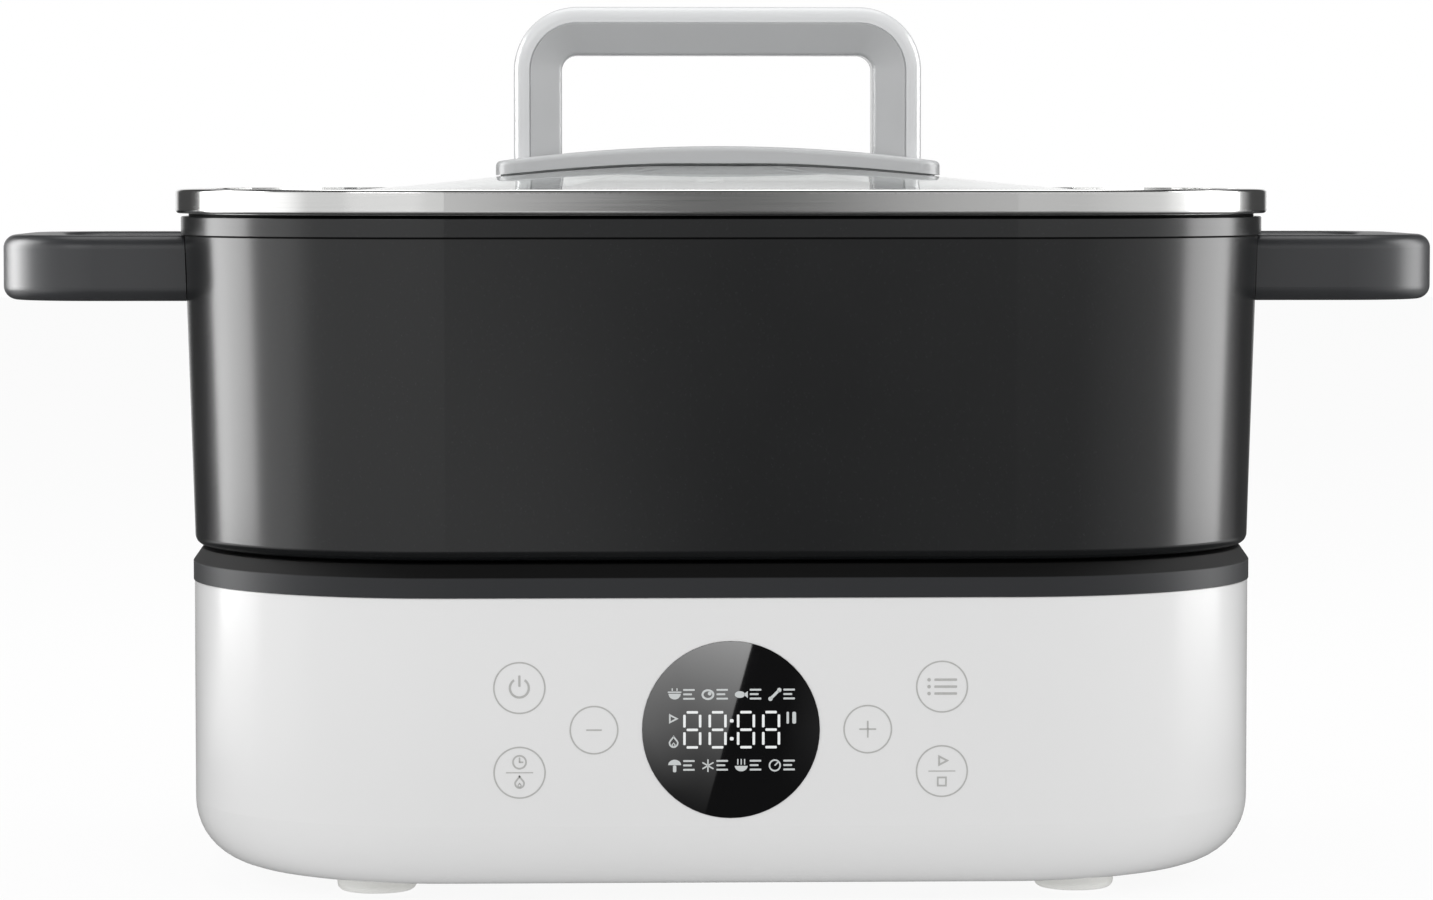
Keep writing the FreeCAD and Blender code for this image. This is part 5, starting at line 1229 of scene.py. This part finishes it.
@dataclass
class Studio:
    """A pale floor, a white surround, soft lamps and the camera. Lengths are in metres.

    shown_white and glow are the share of the floor that shines, to the eye and for matt surfaces, and
    fill is the surround's level for matt surfaces. Mirrors see the floor dark up to board_start and pale
    from board_end on. The levels and fades from dim to opening_fade are those of what mirrors see. A fade
    runs between two parts of a direction of length one: across it for the cards, back for the backdrop
    and the opening behind it, and up for the ceiling.
    """

    camera_place: Triple = (-0.0502, -1.540, 0.216)
    camera_pitch: float = -3.268
    camera_yaw: float = -1.863
    focal_px: float = 4825.5
    frame_px: float = 1433.0
    sensor: float = 36.0
    view_range: float = 50.0
    floor_size: float = 14.0
    floor_drop: float = 0.0005
    paper: str = "#F2F2F2"
    shown_white: float = 0.9
    glow: float = 0.60
    board_start: float = 0.40
    board_end: float = 0.60
    fill: float = 0.70
    dim: float = 0.07
    walls: float = 1.05
    table: float = 0.80
    cards: float = 1.6
    wall_slot: Slot = Slot(0.026, (0.030, 0.046), (0.030, 0.046))
    table_slot: Slot = Slot(0.043, (0.042, 0.069), (0.02, 0.06), shoulder=0.44)
    card_fade: Span = (0.90, 0.98)
    backdrop_fade: Span = (0.42, 0.66)
    ceiling_fade: Span = (0.35, 0.60)
    opening_fade: Span = (0.92, 0.97)
    lamps: tuple[Softbox, ...] = (
        Softbox("lamp_top", (0.0, 0.30, 1.5), (0.0, 0.0, 0.15), 1.3, 0.9, 7.2),
        Softbox("lamp_front_left", (-1.05, -2.0, 1.15), (0.0, 0.0, 0.12), 1.3, 0.8, 5.95),
        Softbox("lamp_front_right", (1.1, -2.0, 1.15), (0.0, 0.0, 0.12), 1.3, 0.8, 4.7, Reach.LIGHT),
        Softbox("lamp_side_left", (-1.3, -0.5, 0.4), (0.0, 0.0, 0.1), 0.8, 0.8, 3.6, Reach.LIGHT),
        Softbox("lamp_side_right", (1.3, -0.5, 0.4), (0.0, 0.0, 0.1), 0.8, 0.8, 3.6, Reach.LIGHT),
        Softbox("lamp_left", (-0.85, 0.17, 0.36), (-0.1, 0.0, 0.15), 0.47, 0.76, 5.5, Reach.GLINTS),
        Softbox("lamp_right", (0.85, 0.07, 0.36), (0.1, 0.0, 0.15), 0.48, 0.76, 4.8, Reach.GLINTS),
        Softbox("lamp_grip", (-0.7, 0.26, 0.3), (-0.2, 0.0, 0.19), 0.34, 0.5, 2.2, Reach.GLINTS,
                ("handle_left",)),
        Softbox("lamp_rim_edge", (0.0, 0.38, 0.9), (0.0, 0.38, 0.0), 0.9, 0.6, 2.4, Reach.GLINTS,
                ("lid_rim",)),
        Softbox("lamp_arch_left", (-0.85, 0.04, 0.36), (-0.06, 0.0, 0.24), 0.5, 0.7, 9.0, Reach.GLINTS,
                ("lid_handle",)),
        Softbox("lamp_arch_right", (0.85, 0.04, 0.36), (0.06, 0.0, 0.24), 0.5, 0.7, 7.5, Reach.GLINTS,
                ("lid_handle",)),
        LeaningStrip("strip_window", (-0.0230, -0.30, 0.0435), (-0.0230, -0.1, 0.0435), 0.06, 0.08, 0.106,
                     Reach.GLINTS, ("display_window",), lean=15.5),
    )

    def build(self) -> None:
        """Set up the studio."""
        self.make_camera()
        self.make_floor()
        self.make_surround()
        for lamp in self.lamps:
            lamp.build()
        bpy.context.scene.view_settings.view_transform = "Standard"

    def make_camera(self) -> None:
        """Set up the camera."""
        deselect_all()
        turn = (math.radians(90 + self.camera_pitch), 0.0, math.radians(self.camera_yaw))
        bpy.ops.object.camera_add(location=self.camera_place, rotation=turn)
        camera = bpy.context.object
        camera.name = "camera"
        camera.data.sensor_width = self.sensor
        camera.data.lens = self.focal_px * self.sensor / self.frame_px
        camera.data.clip_end = self.view_range
        bpy.context.scene.camera = camera

    def make_floor(self) -> None:
        """Lay a pale table that shines a little, is white to the eye and keeps the shadow. Mirrors see
        it dark close by, and farther out a step below the level of the walls."""
        deselect_all()
        bpy.ops.mesh.primitive_plane_add(size=self.floor_size, location=(0, 0, -self.floor_drop))
        floor = bpy.context.object
        floor.name = "floor"
        made = bpy.data.materials.new("paper_white")
        made.use_nodes = True
        tree = made.node_tree
        tree.nodes.clear()
        place = add_node(tree, "ShaderNodeTexCoord").outputs["Object"]
        way = add_node(tree, "ShaderNodeVectorMath", {"operation": "NORMALIZE"}, {0: place}).outputs[0]
        reach = add_node(tree, "ShaderNodeVectorMath", {"operation": "LENGTH"}, {0: place}).outputs["Value"]
        far = add_node(tree, "ShaderNodeMapRange", {
            "From Min": self.board_start, "From Max": self.board_end}, {"Value": reach})
        table, behind = self.levels_round(tree, way, self.table, self.table_slot)
        mirrored = add_node(tree, "ShaderNodeMix", {MIX_LOW: self.dim},
                            {MIX_SHARE: far.outputs["Result"], MIX_HIGH: table})
        path = add_node(tree, "ShaderNodeLightPath")
        front = add_node(tree, "ShaderNodeMath", {"operation": "SUBTRACT", 0: 1.0}, {1: behind})
        hidden = add_node(tree, "ShaderNodeMath", {"operation": "MULTIPLY"}, {
            0: path.outputs["Is Glossy Ray"], 1: front.outputs[0]})
        shown = add_node(tree, "ShaderNodeMath", {"operation": "SUBTRACT", 0: 1.0}, {1: hidden.outputs[0]})
        share = add_node(tree, "ShaderNodeMapRange", {"To Min": self.glow, "To Max": self.shown_white},
                         {"Value": self.seen_rays(tree)})
        paper = add_node(tree, "ShaderNodeBsdfDiffuse", {"Color": linear(self.paper)})
        board = add_node(tree, "ShaderNodeEmission", {}, {"Strength": mirrored.outputs[0]})
        glow = add_node(tree, "ShaderNodeEmission", {"Strength": 1.0})
        lit = add_node(tree, "ShaderNodeMixShader", {}, {0: share.outputs["Result"], 1: paper.outputs[0],
                                                         2: glow.outputs[0]})
        mix = add_node(tree, "ShaderNodeMixShader", {}, {0: shown.outputs[0], 1: board.outputs[0],
                                                         2: lit.outputs[0]})
        add_node(tree, "ShaderNodeOutputMaterial", {}, {"Surface": mix.outputs[0]})
        floor.data.materials.append(made)

    def seen_rays(self, tree: bpy.types.NodeTree) -> Socket:
        """Give 1 for rays from the camera, a mirror or glass, and 0 for the rest.

        Args:
            tree: The nodes.

        Returns:
            The output.
        """
        path = add_node(tree, "ShaderNodeLightPath")
        glossy = add_node(tree, "ShaderNodeMath", {"operation": "MAXIMUM"}, {
            0: path.outputs["Is Camera Ray"], 1: path.outputs["Is Glossy Ray"]})
        return add_node(tree, "ShaderNodeMath", {"operation": "MAXIMUM"}, {
            0: glossy.outputs[0], 1: path.outputs["Is Transmission Ray"]}).outputs[0]

    def levels_round(self, tree: bpy.types.NodeTree, way: Socket, walls: float,
                     slot: Slot) -> tuple[Socket, Socket]:
        """Give what mirrors see by direction: pale walls, a dark slot for the camera, bright cards
        at both sides and a dark ceiling.

        Args:
            tree: The nodes.
            way: A direction of length one.
            walls: The walls' level.
            slot: The dark slot.

        Returns:
            The level in front and at the sides, and how far the direction is towards the backdrop.
        """
        parts = add_node(tree, "ShaderNodeSeparateXYZ", {}, {0: way})
        off_slot = add_node(tree, "ShaderNodeMath", {"operation": "SUBTRACT", 1: slot.middle},
                            {0: parts.outputs["X"]}).outputs[0]
        aside = add_node(tree, "ShaderNodeMath", {"operation": "ABSOLUTE"}, {0: off_slot}).outputs[0]
        fades = {
            "left": (off_slot, (-slot.left[1], -slot.left[0]), (walls, self.dim)),
            "right": (off_slot, slot.right, (self.dim, slot.shoulder * walls)),
            "climb": (off_slot, slot.climb, (0.0, (1.0 - slot.shoulder) * walls)),
            "cards": (aside, self.card_fade, (0.0, self.cards - walls)),
            "backdrop": (parts.outputs["Y"], self.backdrop_fade, (0.0, 1.0)),
            "ceiling": (parts.outputs["Z"], self.ceiling_fade, (0.0, 1.0)),
            "opening": (parts.outputs["Y"], self.opening_fade, (0.0, 1.0)),
        }
        level = {name: add_node(tree, "ShaderNodeMapRange", {
            "From Min": ends[0], "From Max": ends[1], "To Min": levels[0], "To Max": levels[1]},
            {"Value": source}).outputs["Result"] for name, (source, ends, levels) in fades.items()}
        climbed = add_node(tree, "ShaderNodeMath", {"operation": "ADD"}, {
            0: level["right"], 1: level["climb"]})
        pale = add_node(tree, "ShaderNodeMath", {"operation": "MAXIMUM"}, {
            0: level["left"], 1: climbed.outputs[0]})
        lit = add_node(tree, "ShaderNodeMath", {"operation": "ADD"}, {0: pale.outputs[0], 1: level["cards"]})
        dark = add_node(tree, "ShaderNodeMath", {"operation": "MAXIMUM"}, {
            0: level["backdrop"], 1: level["ceiling"]})
        flagged = add_node(tree, "ShaderNodeMix", {MIX_HIGH: self.dim},
                           {MIX_SHARE: dark.outputs[0], MIX_LOW: lit.outputs[0]})
        return flagged.outputs[0], level["opening"]

    def make_surround(self) -> None:
        """Make the backdrop white, also in mirrors and through glass."""
        world = bpy.data.worlds.new("studio")
        world.use_nodes = True
        tree = world.node_tree
        tree.nodes.clear()
        way = add_node(tree, "ShaderNodeTexCoord").outputs["Generated"]
        walls, behind = self.levels_round(tree, way, self.walls, self.wall_slot)
        mirrored = add_node(tree, "ShaderNodeMix", {MIX_HIGH: 1.0}, {MIX_SHARE: behind, MIX_LOW: walls})
        plain = add_node(tree, "ShaderNodeMapRange", {"To Min": self.fill, "To Max": 1.0},
                         {"Value": self.seen_rays(tree)})
        path = add_node(tree, "ShaderNodeLightPath")
        level = add_node(tree, "ShaderNodeMix", {}, {
            MIX_SHARE: path.outputs["Is Glossy Ray"], MIX_LOW: plain.outputs["Result"],
            MIX_HIGH: mirrored.outputs[0]})
        light = add_node(tree, "ShaderNodeBackground", {"Color": (1, 1, 1, 1)},
                         {"Strength": level.outputs[0]})
        add_node(tree, "ShaderNodeOutputWorld", {}, {"Surface": light.outputs[0]})
        bpy.context.scene.world = world


def main() -> None:
    """Build and dress the hot pot, then the studio round it."""
    logging.basicConfig(level=logging.INFO, format="%(name)s: %(message)s")
    wardrobe = Wardrobe()
    for assembly in (Housing, ControlPanel, Heater, Pot, Lid, Electronics):
        LOG.info("building %s", assembly.__name__)
        assembly(wardrobe).build()
    Studio().build()


if __name__ == "__main__":
    main()
